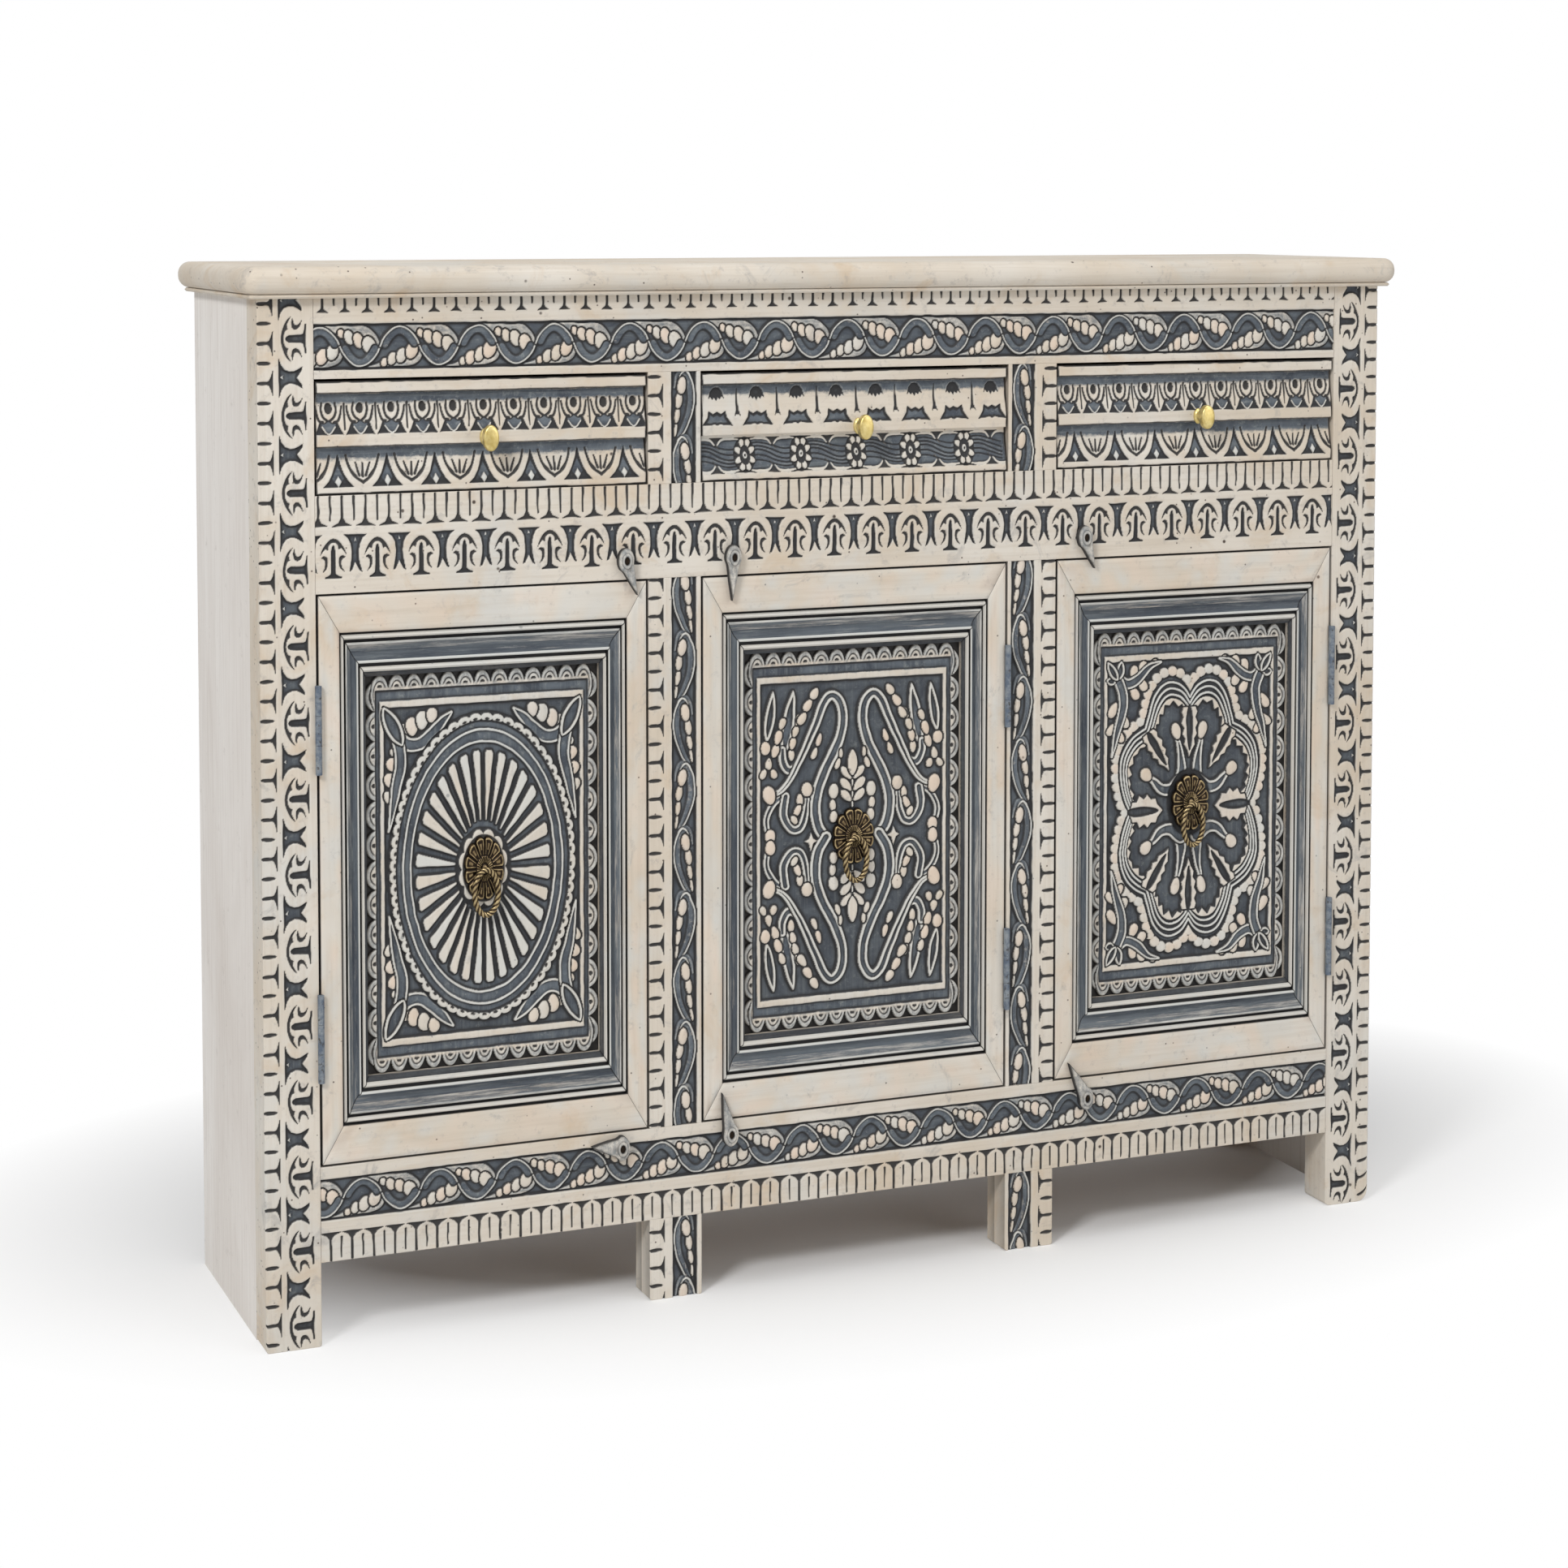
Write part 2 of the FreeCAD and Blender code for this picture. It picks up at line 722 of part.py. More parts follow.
def moulding(outer):
    """The four mouldings of a door, mitred at the corners."""
    inner = inset(outer, moulding_width, moulding_height)
    x0, x1, z0, z1 = outer
    wide = vec(x1 - x0, 0, 0)
    tall = vec(0, 0, z1 - z0)
    runs = [
        moulding_run(vec(x0, 0, z0), vec(0, 0, moulding_height), wide),
        moulding_run(vec(x1, 0, z0), vec(-moulding_width, 0, 0), tall),
        moulding_run(vec(x0, 0, z1), vec(0, 0, -moulding_height), wide),
        moulding_run(vec(x0, 0, z0), vec(moulding_width, 0, 0), tall),
    ]
    mitres = mitred(outer, inner, -overrun, panel_front)
    return Part.makeCompound([run.common(mitre) for run, mitre in zip(runs, mitres)])


def scalloped_plate(rect, y0, y1):
    """A plate with lobes along all four edges; rect is where neighbouring lobes meet."""
    counts = (across_lobe_count, upright_lobe_count, across_lobe_count, upright_lobe_count)
    outward = (
        vec(0, 0, -border_lobe), vec(border_lobe, 0, 0), vec(0, 0, border_lobe), vec(-border_lobe, 0, 0),
    )
    corners = [vec(x, y0, z) for x, z in frame_corners(*rect)]
    points = []
    for k in range(4):
        a = corners[k]
        b = corners[(k + 1) % 4]
        for index in range(counts[k]):
            for facet in range(lobe_facets):
                turn = math.pi * facet / lobe_facets
                along = (index + (1 - math.cos(turn)) / 2) / counts[k]
                points.append(a + (b - a) * along + outward[k] * math.sin(turn))
    return flat_face(points).extrude(vec(0, y1 - y0, 0))


def border(opening):
    """The scalloped strip and the plain fillet round the panel, with a hollow between them."""
    strip = inset(opening, border_inset + border_lobe, border_inset + border_lobe)
    strip_inner = inset(strip, border_width - border_lobe, border_height - border_lobe)
    fillet = inset(opening, fillet_inset_x, fillet_inset_z)
    fillet_inner = inset(fillet, fillet_width_x, fillet_width_z)
    fillet_face = panel_front - relief_height * fillet_height_share
    sunk = panel_front + panel_thickness / 2
    outer = scalloped_plate(strip, relief_face, sunk)
    outer = outer.cut(plate(frame_corners(*strip_inner), relief_face, sunk))
    line = plate(frame_corners(*fillet), fillet_face, sunk)
    line = line.cut(plate(frame_corners(*fillet_inner), fillet_face, sunk))
    return [outer, line]


def wheel(opening):
    """The wheel of the left door: a rim and wedge-shaped spokes, clear of the fillet round the panel."""
    x0, x1, z0, z1 = opening
    cx = (x0 + x1) / 2
    cz = (z0 + z1) / 2
    wheel_half_width = cx - x0 - fillet_inset_x - fillet_width_x - wheel_side_clearance
    wheel_half_height = cz - z0 - fillet_inset_z - fillet_width_z - wheel_end_clearance
    face = panel_front - relief_height * wheel_height_share
    sunk = panel_front + panel_thickness / 2
    rim = plate(oval_points(cx, cz, wheel_half_width, wheel_half_height, wheel_facets), face, sunk)
    hollow_x = wheel_half_width * wheel_rim_share
    hollow_z = wheel_half_height * wheel_rim_share
    solids = [rim.cut(plate(oval_points(cx, cz, hollow_x, hollow_z, wheel_facets), face, sunk))]

    def rim_point(share, turn):
        x = cx + wheel_half_width * share * math.cos(turn)
        return (x, cz + wheel_half_height * share * math.sin(turn))

    step = 2 * math.pi / spoke_count
    half = step * (1 - spoke_gap_share) / 2
    for index in range(spoke_count):
        turn = index * step + step / 2
        corners = [
            rim_point(spoke_tip_share, turn),
            rim_point(spoke_end_share, turn - half),
            rim_point(spoke_end_share, turn + half),
        ]
        solids.append(plate(corners, face, sunk))
    return solids


def lobed_ring(cx, cz, half_x, half_z, y):
    """Points round a petalled oval."""
    count = petal_count * petal_points
    points = []
    for index in range(count):
        turn = 2 * math.pi * index / count
        swell = abs(math.sin(petal_count * turn / 2))
        size = 1 - petal_dip_share * (1 - swell)
        points.append(vec(cx + half_x * size * math.cos(turn), y, cz + half_z * size * math.sin(turn)))
    return points


def rosette(cx, cz, width, height):
    """A petalled brass plate with an upright eye for the ring."""
    rings = []
    for size, rise in zip(rosette_size_shares, rosette_rise_shares):
        y = pad_face - rosette_height * rise
        rings.append(lobed_ring(cx, cz, width / 2 * size, height / 2 * size, y))
    eye_y = pad_face - eye_reach
    x0 = cx - eye_thickness / 2
    rim = [vec(x0, eye_y + y, z) for y, z in oval_points(0, cz, eye_radius, eye_radius, eye_sides)]
    cheek = flat_face(rim).extrude(vec(eye_thickness, 0, 0))
    neck = block(x0, x0 + eye_thickness, eye_y, pad_face, cz - eye_hole_radius, cz + eye_hole_radius)
    hole = Part.makeCylinder(eye_hole_radius, eye_thickness, vec(x0, eye_y, cz), X_AXIS)
    return faceted_solid(rings).fuse([cheek, neck]).cut(hole)


def ring_pull(cx, cz):
    """An oval wire ring that hangs through the eye."""
    y = pad_face - eye_reach
    rings = []
    for index in range(ring_stations):
        turn = 2 * math.pi * index / ring_stations
        middle = vec(cx + ring_half_width * math.sin(turn), y, cz - ring_half_height
                     + ring_half_height * math.cos(turn))
        out = vec(math.sin(turn) * ring_half_height, 0, math.cos(turn) * ring_half_width).normalize()
        section = []
        for facet in range(ring_facets):
            round_turn = 2 * math.pi * (facet + 0.5) / ring_facets
            section.append(middle + out * (ring_wire_radius * math.cos(round_turn))
                           + Y_AXIS * (ring_wire_radius * math.sin(round_turn)))
        rings.append(section)
    return faceted_ring(rings)


def door(name):
    """One door: mitred frame and moulding round a carved panel, with its hinges, rosette and ring."""
    x0, x1 = bays[name]
    outer = (x0 + door_gap, x1 - door_gap, door_bottom, door_top)
    frame_inner = inset(outer, door_stile_width, door_rail_width)
    opening = inset(frame_inner, moulding_width, moulding_height)
    base_rect = inset(frame_inner, -panel_tongue, -panel_tongue)
    base = block(base_rect[0], base_rect[1], panel_front, panel_back, base_rect[2], base_rect[3])
    cuts = [base] + leaf_recesses(name, True)
    frame = [piece.cut(cuts) for piece in mitred(outer, frame_inner, 0, door_thickness)]

    cx = (x0 + x1) / 2
    cz = (door_bottom + door_top) / 2
    knot_z = cz + rosette_rises[name]
    sunk = panel_front + panel_thickness / 2
    carving = border(opening)
    pad = oval_points(cx, knot_z, pad_half_width, pad_half_height, pad_sides)
    carving.append(plate(pad, pad_face, sunk))
    if name == "left":
        carving += wheel(opening)
    width, height = rosette_sizes[name]
    return {
        f"door_frame_{name}": Part.makeCompound(frame),
        f"door_moulding_{name}": moulding(frame_inner),
        f"door_panel_{name}": base.multiFuse(carving).removeSplitter(),
        f"door_rosette_{name}": rosette(cx, knot_z, width, height),
        f"door_ring_{name}": ring_pull(cx, knot_z),
        f"hinge_leaves_{name}": Part.makeCompound([hinge_leaf(name, z, True) for z in hinge_levels]),
    }


def hinge_pins():
    """The fixed leaves of all six hinges, each with its pin."""
    leaves = [hinge_leaf(name, z, False) for name in bays for z in hinge_levels]
    return {"hinge_pins": Part.makeCompound(leaves)}


def turn_place(name):
    """Pivot, length and direction of one turn button."""
    bay, upward, in_share, off_share, length_share, lean = turn_place_shares[name]
    free_edge = bays[bay][1] if hinge_side(bay) < 0 else bays[bay][0]
    x = free_edge + hinge_side(bay) * in_share * turn_length
    edge = door_ceiling if upward > 0 else door_floor
    z = edge + upward * off_share * turn_length
    return x, z, length_share * turn_length, upward, math.radians(lean)


def screw_shank(name):
    """The shank of a turn button's screw, which is also its pilot hole."""
    x, z = turn_place(name)[:2]
    radius = turn_bore_radius - turn_bore_clearance
    seat = -(turn_gap + turn_thickness - turn_sink_depth + screw_head_gap)
    return round_bar(x, z, radius, screw_sides, seat, seat + screw_length)


def turn_button(name):
    """A wooden teardrop that turns on its screw and holds the door shut."""
    x, z, length, upward, lean = turn_place(name)
    front = -(turn_gap + turn_thickness)
    direction = math.atan2(-upward * math.cos(lean), math.sin(lean))
    spread = math.acos((turn_end_radius - turn_tip_radius) / (length - turn_tip_radius))
    points = []
    for index in range(turn_sides):
        turn = direction + spread + (2 * math.pi - 2 * spread) * index / (turn_sides - 1)
        points.append((turn_end_radius * math.cos(turn), turn_end_radius * math.sin(turn)))
    tip_x = (length - turn_tip_radius) * math.cos(direction)
    tip_z = (length - turn_tip_radius) * math.sin(direction)
    for turn in (direction - spread, direction, direction + spread):
        points.append((tip_x + turn_tip_radius * math.cos(turn), tip_z + turn_tip_radius * math.sin(turn)))
    outline = [(x + turn_squeeze_share * px, z + pz) for px, pz in points]
    button = plate(outline, front, -turn_gap)
    sink = plate(
        oval_points(x, z, turn_squeeze_share * turn_sink_radius, turn_sink_radius, turn_sink_sides),
        front, front + turn_sink_depth,
    )
    bore = Part.makeCylinder(turn_bore_radius, turn_thickness, vec(x, front, z), Y_AXIS)
    return button.cut([sink, bore])


def turn_screws():
    """The six screws that the turn buttons turn on."""
    solids = []
    for name in turn_place_shares:
        x, z = turn_place(name)[:2]
        shank = screw_shank(name)
        seat = shank.BoundBox.YMin
        head = round_bar(x, z, screw_head_radius, screw_sides, seat - screw_head_thickness, seat)
        solids.append(head.fuse(shank).removeSplitter())
    return {"turn_screws": Part.makeCompound(solids)}


def assembly():
    """Every piece of the cabinet by name."""
    pieces = {}
    for group in (top_boards, front_posts, mid_stiles, front_rails, side_panels, back_panel, rear_posts,
                  carcass_boards, side_cleats, drawer_runners, stops, hinge_pins, turn_screws):
        pieces.update(group())
    for name in bays:
        pieces.update(drawer(name))
        pieces.update(door(name))
    for name in turn_place_shares:
        pieces[name] = turn_button(name)
    return pieces


to_middle = vec(0, -(body_depth - knob_reach) / 2, 0)
for node, shape in assembly().items():
    shape.translate(to_middle)
    shape.exportStep(f"parts/{node}.step")
    print(node, "solids", len(shape.Solids), "valid", shape.isValid(), "volume", round(shape.Volume))
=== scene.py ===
import json
import math

import bpy
import numpy as np
from mathutils import Matrix, Vector


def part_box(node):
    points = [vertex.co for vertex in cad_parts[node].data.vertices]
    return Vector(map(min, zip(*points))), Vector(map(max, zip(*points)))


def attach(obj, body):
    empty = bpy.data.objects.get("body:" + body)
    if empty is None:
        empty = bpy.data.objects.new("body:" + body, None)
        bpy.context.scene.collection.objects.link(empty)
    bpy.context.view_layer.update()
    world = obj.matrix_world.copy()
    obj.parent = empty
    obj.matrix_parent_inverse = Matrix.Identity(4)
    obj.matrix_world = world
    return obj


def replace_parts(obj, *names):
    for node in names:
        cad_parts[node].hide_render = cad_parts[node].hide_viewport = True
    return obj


# Looks of the carved cabinet. Lengths are in millimetres, as in the record, and become metres in mesh_piece.
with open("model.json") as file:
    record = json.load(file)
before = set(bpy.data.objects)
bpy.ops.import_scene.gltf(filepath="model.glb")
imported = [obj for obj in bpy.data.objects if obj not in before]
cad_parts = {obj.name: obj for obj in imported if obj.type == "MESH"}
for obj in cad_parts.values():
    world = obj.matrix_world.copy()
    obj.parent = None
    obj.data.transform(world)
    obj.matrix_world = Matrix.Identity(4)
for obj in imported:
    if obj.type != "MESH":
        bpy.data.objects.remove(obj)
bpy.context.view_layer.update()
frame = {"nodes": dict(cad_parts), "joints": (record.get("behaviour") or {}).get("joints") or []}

MM = 0.001
SIDES = ("left", "middle", "right")

# Hinge leaves stand this far proud of the wood beside them
LEAF_CLEAR = 0.2
# Wear at the feet of the posts; the right post's foot is worn more, 6 inside and 12 outside
POST_WEAR = 2.5
RIGHT_FOOT_WEAR = (6.0, 12.0)

# Fineness of the carved faces, and the widths of the slope at the edge of a cut
PITCH = 0.8
SLOPE = 1.3
CLEAN = 1.0
CRISP = 0.9
FINE = 0.8

# Levels of the carving, as depths below the face
GROUND = 3.2
RIBBON = 1.7
RIDGE = 0.4
PETAL_EDGE = 1.9
CUT = 1.5

# How far bars run on past the edges of a face
OVERRUN = 5.0

# How far hand cutting strays from the drawing, and over what length; the wear of the face, its length, the
# height over which a foot is worn, and how near and how wide the painted shade in a cut reaches
STRAY, STRAY_LENGTH = 0.35, 9.0
WEAR, WEAR_LENGTH = 0.12, 14.0
WORN_HEIGHT = 60.0
NEAR_SHADE, WIDE_SHADE = 1.5, 4.0

# Paint of a board's back: blue, dark, warm and rubbed
BACK_PAINT = (0.0, 0.04, 0.5, 0.0)
# How far back the dark edge of a carved board reaches
LIP = 1.6


def span(node):
    """Lowest and highest corner of a CAD node in millimetres."""
    low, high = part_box(node)
    return np.array(low) / MM, np.array(high) / MM


FRONT = span("top_rail")[0][1]
RAIL_THICK = 22.0
TENON = 20.0
ROSETTE_PETALS = 12
ROSETTE_HEIGHT = 4.7


# Noise and blur on grids

def smooth_noise(shape, cell, seed):
    """Soft noise from -1 to 1 that changes over about cell grid steps."""
    rng = np.random.default_rng(seed)
    rows, cols = (int(n / cell) + 3 for n in shape)
    knots = rng.uniform(-1, 1, (rows, cols))
    r = np.arange(shape[0]) / cell
    c = np.arange(shape[1]) / cell
    ri, ci = r.astype(int), c.astype(int)
    rf, cf = r - ri, c - ci
    rf = (rf * rf * (3 - 2 * rf))[:, None]
    cf = (cf * cf * (3 - 2 * cf))[None, :]
    a = knots[np.ix_(ri, ci)] * (1 - cf) + knots[np.ix_(ri, ci + 1)] * cf
    b = knots[np.ix_(ri + 1, ci)] * (1 - cf) + knots[np.ix_(ri + 1, ci + 1)] * cf
    return a * (1 - rf) + b * rf


def blur(values, reach):
    """Mean over a square of 2 * reach + 1 grid points."""
    for axis in (0, 1):
        padded = np.pad(values, [(reach + 1, reach) if k == axis else (0, 0) for k in (0, 1)], mode="edge")
        total = np.cumsum(padded, axis=axis)
        count = values.shape[axis]
        after = np.take(total, np.arange(2 * reach + 1, 2 * reach + 1 + count), axis=axis)
        before = np.take(total, np.arange(count), axis=axis)
        values = (after - before) / (2 * reach + 1)
    return values


# Outlines: each is a box to look in and a signed distance, negative inside

class Outline:
    def __init__(self, points, reach, distance):
        xs, zs = [p[0] for p in points], [p[1] for p in points]
        self.box = (min(xs) - reach, max(xs) + reach, min(zs) - reach, max(zs) + reach)
        self.distance = distance


def smooth_path(points, steps=6, closed=False):
    """A smooth path through a few points."""
    p = np.array(points, float)
    count = len(p)
    if closed:
        ring = [p[k % count] for k in range(-1, count + 2)]
    else:
        ring = [2 * p[0] - p[1], *p, 2 * p[-1] - p[-2]]
    made = []
    for a, b, c, d in zip(ring, ring[1:], ring[2:], ring[3:]):
        for k in range(steps):
            t = k / steps
            made.append(0.5 * (2 * b + (c - a) * t + (2 * a - 5 * b + 4 * c - d) * t ** 2
                               + (3 * b - a - 3 * c + d) * t ** 3))
    made.append(ring[-2])
    return [tuple(q) for q in made]


def path_distance(points, x, z):
    """Distance from a path, and how far along it the nearest point lies, from 0 to 1."""
    steps = [math.dist(a, b) for a, b in zip(points, points[1:])]
    total, start = sum(steps), 0.0
    best = np.full(np.broadcast(x, z).shape, 1e9)
    along = np.zeros_like(best)
    for (ax, az), (bx, bz), length in zip(points, points[1:], steps):
        if length == 0:
            continue
        dx, dz = bx - ax, bz - az
        t = np.clip(((x - ax) * dx + (z - az) * dz) / length ** 2, 0, 1)
        d = np.hypot(x - ax - t * dx, z - az - t * dz)
        near = d < best
        best = np.where(near, d, best)
        along = np.where(near, (start + t * length) / total, along)
        start += length
    return best, along


def oval(cx, cz, rx, rz, lean=0.0):
    c, s = math.cos(math.radians(lean)), math.sin(math.radians(lean))

    def distance(x, z):
        u = ((x - cx) * c + (z - cz) * s) / rx
        v = ((z - cz) * c - (x - cx) * s) / rz
        k = np.hypot(u, v)
        return (k - 1) * k / np.maximum(np.hypot(u / rx, v / rz), 1e-6)

    return Outline([(cx, cz)], max(rx, rz) + 2, distance)


def polygon(points):
    def distance(x, z):
        best = np.full(np.broadcast(x, z).shape, 1e9)
        inside = np.zeros(best.shape, bool)
        for (ax, az), (bx, bz) in zip(points, points[1:] + points[:1]):
            dx, dz = bx - ax, bz - az
            t = np.clip(((x - ax) * dx + (z - az) * dz) / max(dx * dx + dz * dz, 1e-9), 0, 1)
            best = np.minimum(best, np.hypot(x - ax - t * dx, z - az - t * dz))
            if dz != 0:
                crosses = (az > z) != (bz > z)
                inside ^= crosses & (x < ax + (z - az) * dx / dz)
        return np.where(inside, -best, best)

    return Outline(points, 2, distance)


def stroke(points, width, end_width=None, late=1.0):
    """A line of the given width, or one whose width changes towards its end, at once or late."""
    end = width if end_width is None else end_width

    def distance(x, z):
        d, along = path_distance(points, x, z)
        return d - (width + (end - width) * along ** late) / 2

    return Outline(points, max(width, end) / 2 + 2, distance)


def leaf(a, b, width, taper, point=0.5):
    """A leaf from a to b. A positive taper makes it widest near b; a larger point makes its ends sharper."""
    (ax, az), (bx, bz) = a, b
    half = math.dist(a, b) / 2
    ux, uz = (bx - ax) / (2 * half), (bz - az) / (2 * half)
    cx, cz = (ax + bx) / 2, (az + bz) / 2

    def distance(x, z):
        t = ((x - cx) * ux + (z - cz) * uz) / half
        v = np.abs((z - cz) * ux - (x - cx) * uz)
        w = width / 2 * np.clip(1 - t * t, 0, 1) ** point * (1 + taper * t)
        return np.maximum((v - w) * 0.85, (np.abs(t) - 1) * half)

    return Outline([a, b], width, distance)


def grown(outline, by):
    """The same outline moved outwards."""
    x0, x1, z0, z1 = outline.box
    return Outline([(x0, z0), (x1, z1)], max(by, 0.0), lambda x, z: outline.distance(x, z) - by)


def bar(x0, x1, z0, z1):
    def distance(x, z):
        return np.maximum(np.maximum(x0 - x, x - x1), np.maximum(z0 - z, z - z1))

    return Outline([(x0, z0), (x1, z1)], 2, distance)


class Carving:
    """A face over a fine grid: its depth, and where it is blue, warmer in tone, or dark with dirt and
    painted shade.
    """

    def __init__(self, x0, x1, z0, z1, seed):
        self.x = np.linspace(x0, x1, int((x1 - x0) / PITCH) + 2)
        self.z = np.linspace(z0, z1, int((z1 - z0) / PITCH) + 2)
        shape = (len(self.z), len(self.x))
        cell = STRAY_LENGTH / PITCH
        self.across = self.x[None, :] + STRAY * smooth_noise(shape, cell, seed)
        self.up = self.z[:, None] + STRAY * smooth_noise(shape, cell, seed + 1)
        self.depth = np.zeros(shape)
        self.blue = np.zeros(shape)
        self.dark = np.zeros(shape)
        self.warm = np.zeros(shape)
        self.seed = seed

    def turned(self, flip):
        """The same face seen with its height as the way along; flip counts the other way from the right."""
        other = object.__new__(Carving)
        way = slice(None, None, -1) if flip else slice(None)
        sign = -1 if flip else 1
        other.x = self.z
        other.z = sign * self.x[way]
        other.across = self.up.T[way]
        other.up = sign * self.across.T[way]
        for name in ("depth", "blue", "dark", "warm"):
            setattr(other, name, getattr(self, name).T[way])
        other.seed = self.seed
        return other

    def lay(self, outline, depth, blue=0.0, dark=0.0, warm=0.0, dome=0.0, slope=SLOPE):
        """Sets everything inside an outline to a depth and a paint. dome lifts its middle."""
        x0, x1, z0, z1 = outline.box
        c0, c1 = np.searchsorted(self.x, (x0, x1))
        r0, r1 = np.searchsorted(self.z, (z0, z1))
        if c0 == c1 or r0 == r1:
            return
        at = (slice(r0, r1), slice(c0, c1))
        d = outline.distance(self.across[at], self.up[at])
        mask = np.clip(0.5 - d / slope, 0, 1)
        level = depth
        if dome:
            level = depth - dome * np.sqrt(np.clip(-d / (2.2 * dome), 0, 1))
        layers = (self.depth, level), (self.blue, blue), (self.dark, dark), (self.warm, warm)
        for values, target in layers:
            values[at] += (target - values[at]) * mask

    def petal(self, a, b, width_a, width_b, warm=0.0):
        """A rounded petal from a to b in a cut painted dark, for dirt and painted shade."""
        ends = (width_a + width_b) / 4
        length = max(math.dist(a, b), 0.1)
        ux, uz = (b[0] - a[0]) / length, (b[1] - a[1]) / length
        taper = 0.8 * (width_b - width_a) / (width_b + width_a)
        wide = 1.12 * max(width_a, width_b)
        for grow, depth, blue, dark, dome in ((1.1, GROUND, 0.8, 1.0, 0.0),
                                              (0.0, PETAL_EDGE, 0.0, 0.0, 1.4)):
            reach = ends + grow
            p = (a[0] - ux * reach, a[1] - uz * reach)
            q = (b[0] + ux * reach, b[1] + uz * reach)
            tone = warm if dome else 0.0
            self.lay(leaf(p, q, wide + 2 * grow, taper), depth, blue, dark, tone, dome=dome, slope=CLEAN)

    def scale(self, cx, cz, rx, rz, lean=0.0, warm=0.0, blue=0.0):
        """A domed oval petal in a crescent cut painted dark, for dirt and painted shade."""
        self.lay(oval(cx, cz, rx + 1.0, rz + 1.0, lean), GROUND, 0.5, 1.0, slope=CRISP)
        self.lay(oval(cx, cz, rx, rz, lean), PETAL_EDGE, blue, 0.0, warm, dome=1.6, slope=CLEAN)

    def ribbon(self, path, width, end_width=None, line=1.9, late=2.5):
        """A blue hollow band between two white edges, in a cut painted dark, for dirt and painted shade."""
        end = width if end_width is None else end_width
        self.lay(stroke(path, width + 1.8, end + 1.8, late), GROUND, 0.9, 0.9, slope=CLEAN)
        self.lay(stroke(path, width, end, late), RIDGE, 0.0, 0.0, -0.8, dome=0.3, slope=CLEAN)
        self.lay(stroke(path, width - 2 * line, end - 2 * line, late), RIBBON, 0.9, 0.05, slope=CLEAN)

    def raised(self, outline, depth, blue, warm, dome=0.0, moat=1.0, moat_dirt_and_shade=0.9, slope=CLEAN):
        """A raised form in a cut painted dark, for dirt and painted shade."""
        self.lay(grown(outline, moat), GROUND, 0.9, moat_dirt_and_shade, slope=CLEAN)
        self.lay(outline, depth, blue, 0.0, warm, dome, slope)

    def outlined_leaf(self, a, b, width, line, taper=-0.15):
        """A pointed leaf with a white edge and a blue hollow."""
        edge = leaf(a, b, width, taper, 0.7)
        self.raised(edge, RIDGE, 0.0, -0.7, dome=0.3)
        self.lay(grown(edge, -line), RIBBON + 0.4, 0.95, 0.15, slope=CLEAN)

    def line(self, path, width, end_width=None, depth=CUT):
        """A cut painted dark, for dirt and painted shade."""
        self.lay(stroke(path, width, end_width), depth, 0.35, 1.0, slope=CRISP)


# Motifs, drawn along x with their feet at low z

def places(c, pitch, phase):
    """Middles of a motif that repeats along the whole of a carving."""
    return [c.x[0] + phase + k * pitch for k in range(-1, int((c.x[-1] - c.x[0]) / pitch) + 3)]


def placer(a, b, wide=1.0, tall=1.0):
    """A function that turns shares of a motif's breadth and height into a place."""
    def at(s, t):
        return (a + s * wide, b + t * tall)

    return at


def doubled(at, side):
    """A closed outline from the points on one side of its middle line."""
    return polygon([at(s, t) for s, t in side] + [at(-s, t) for s, t in reversed(side)])


def band(c, b0, b1):
    """A bar over the whole length of a carving."""
    return bar(c.x[0] - OVERRUN, c.x[-1] + OVERRUN, b0, b1)


def wedge_cut(c, a, edge, half, knee, tip, share=0.35, depth=CUT + 0.4):
    """A triangle with hollow sides, cut in from an edge."""
    c.lay(polygon([(a - half, edge), (a - half * share, edge + knee), (a, edge + tip),
                   (a + half * share, edge + knee), (a + half, edge)]), depth, 0.4, 1.0, slope=CRISP)


def ticks(c, foot, top, pitch, phase, half, cut_share=0.85, point_share=0.28):
    """Round-ended tongues that hang from the top: cuts between them end in triangles at the foot."""
    height = top - foot
    for a in places(c, pitch, phase):
        c.line([(a, top), (a, foot + point_share * height)], 1.8)
        wedge_cut(c, a, foot, half, 0.5 * point_share * height, (point_share + 0.12) * height)
        m = a + pitch / 2
        c.line([(m, top), (m, top - cut_share * height)], 2.0, 0.9)


# A leaf of the creeping vine, as shares of half a period and of half the band's height: the outline of its
# wing, and its petals with their places and sizes
WING = ((-0.86, -0.90), (-0.60, -0.93), (-0.20, -0.90), (0.20, -0.88), (0.46, -0.62), (0.55, -0.25),
        (0.48, 0.02), (0.36, 0.14), (0.20, 0.02), (0.0, -0.14), (-0.25, -0.36), (-0.55, -0.66))
WING_PETALS = ((-0.42, -0.66, 0.085, 0.20), (-0.22, -0.50, 0.115, 0.30), (0.02, -0.36, 0.135, 0.36),
               (0.28, -0.16, 0.155, 0.38))


def vine_leaves(c, bends, middle, reach, unit, seed):
    """A winged leaf with a row of petals in every bend."""
    rng = np.random.default_rng(seed)
    for centre, up in bends:
        lift, slide = (-0.06, 0.03) if up > 0 else (0.10, -0.05)

        def at(s, t):
            return (centre + (s + slide) * unit, middle + up * (t + lift if abs(t) < 0.85 else t) * reach)

        wing = polygon(smooth_path([at(s, t) for s, t in WING], 4, True))
        c.lay(grown(wing, 0.9), GROUND + 0.3, 0.9, 1.0)
        c.lay(wing, RIBBON, 0.50, 0.05, -0.3, dome=0.9)
        sizes = rng.uniform(0.93, 1.08, len(WING_PETALS))
        tones = rng.uniform(-0.5, 1.0, len(WING_PETALS))
        for (s, t, rs, rt), size, tone in zip(WING_PETALS, sizes, tones):
            c.scale(*at(s, t), rs * unit * size, rt * reach * size, -20 * up, tone)


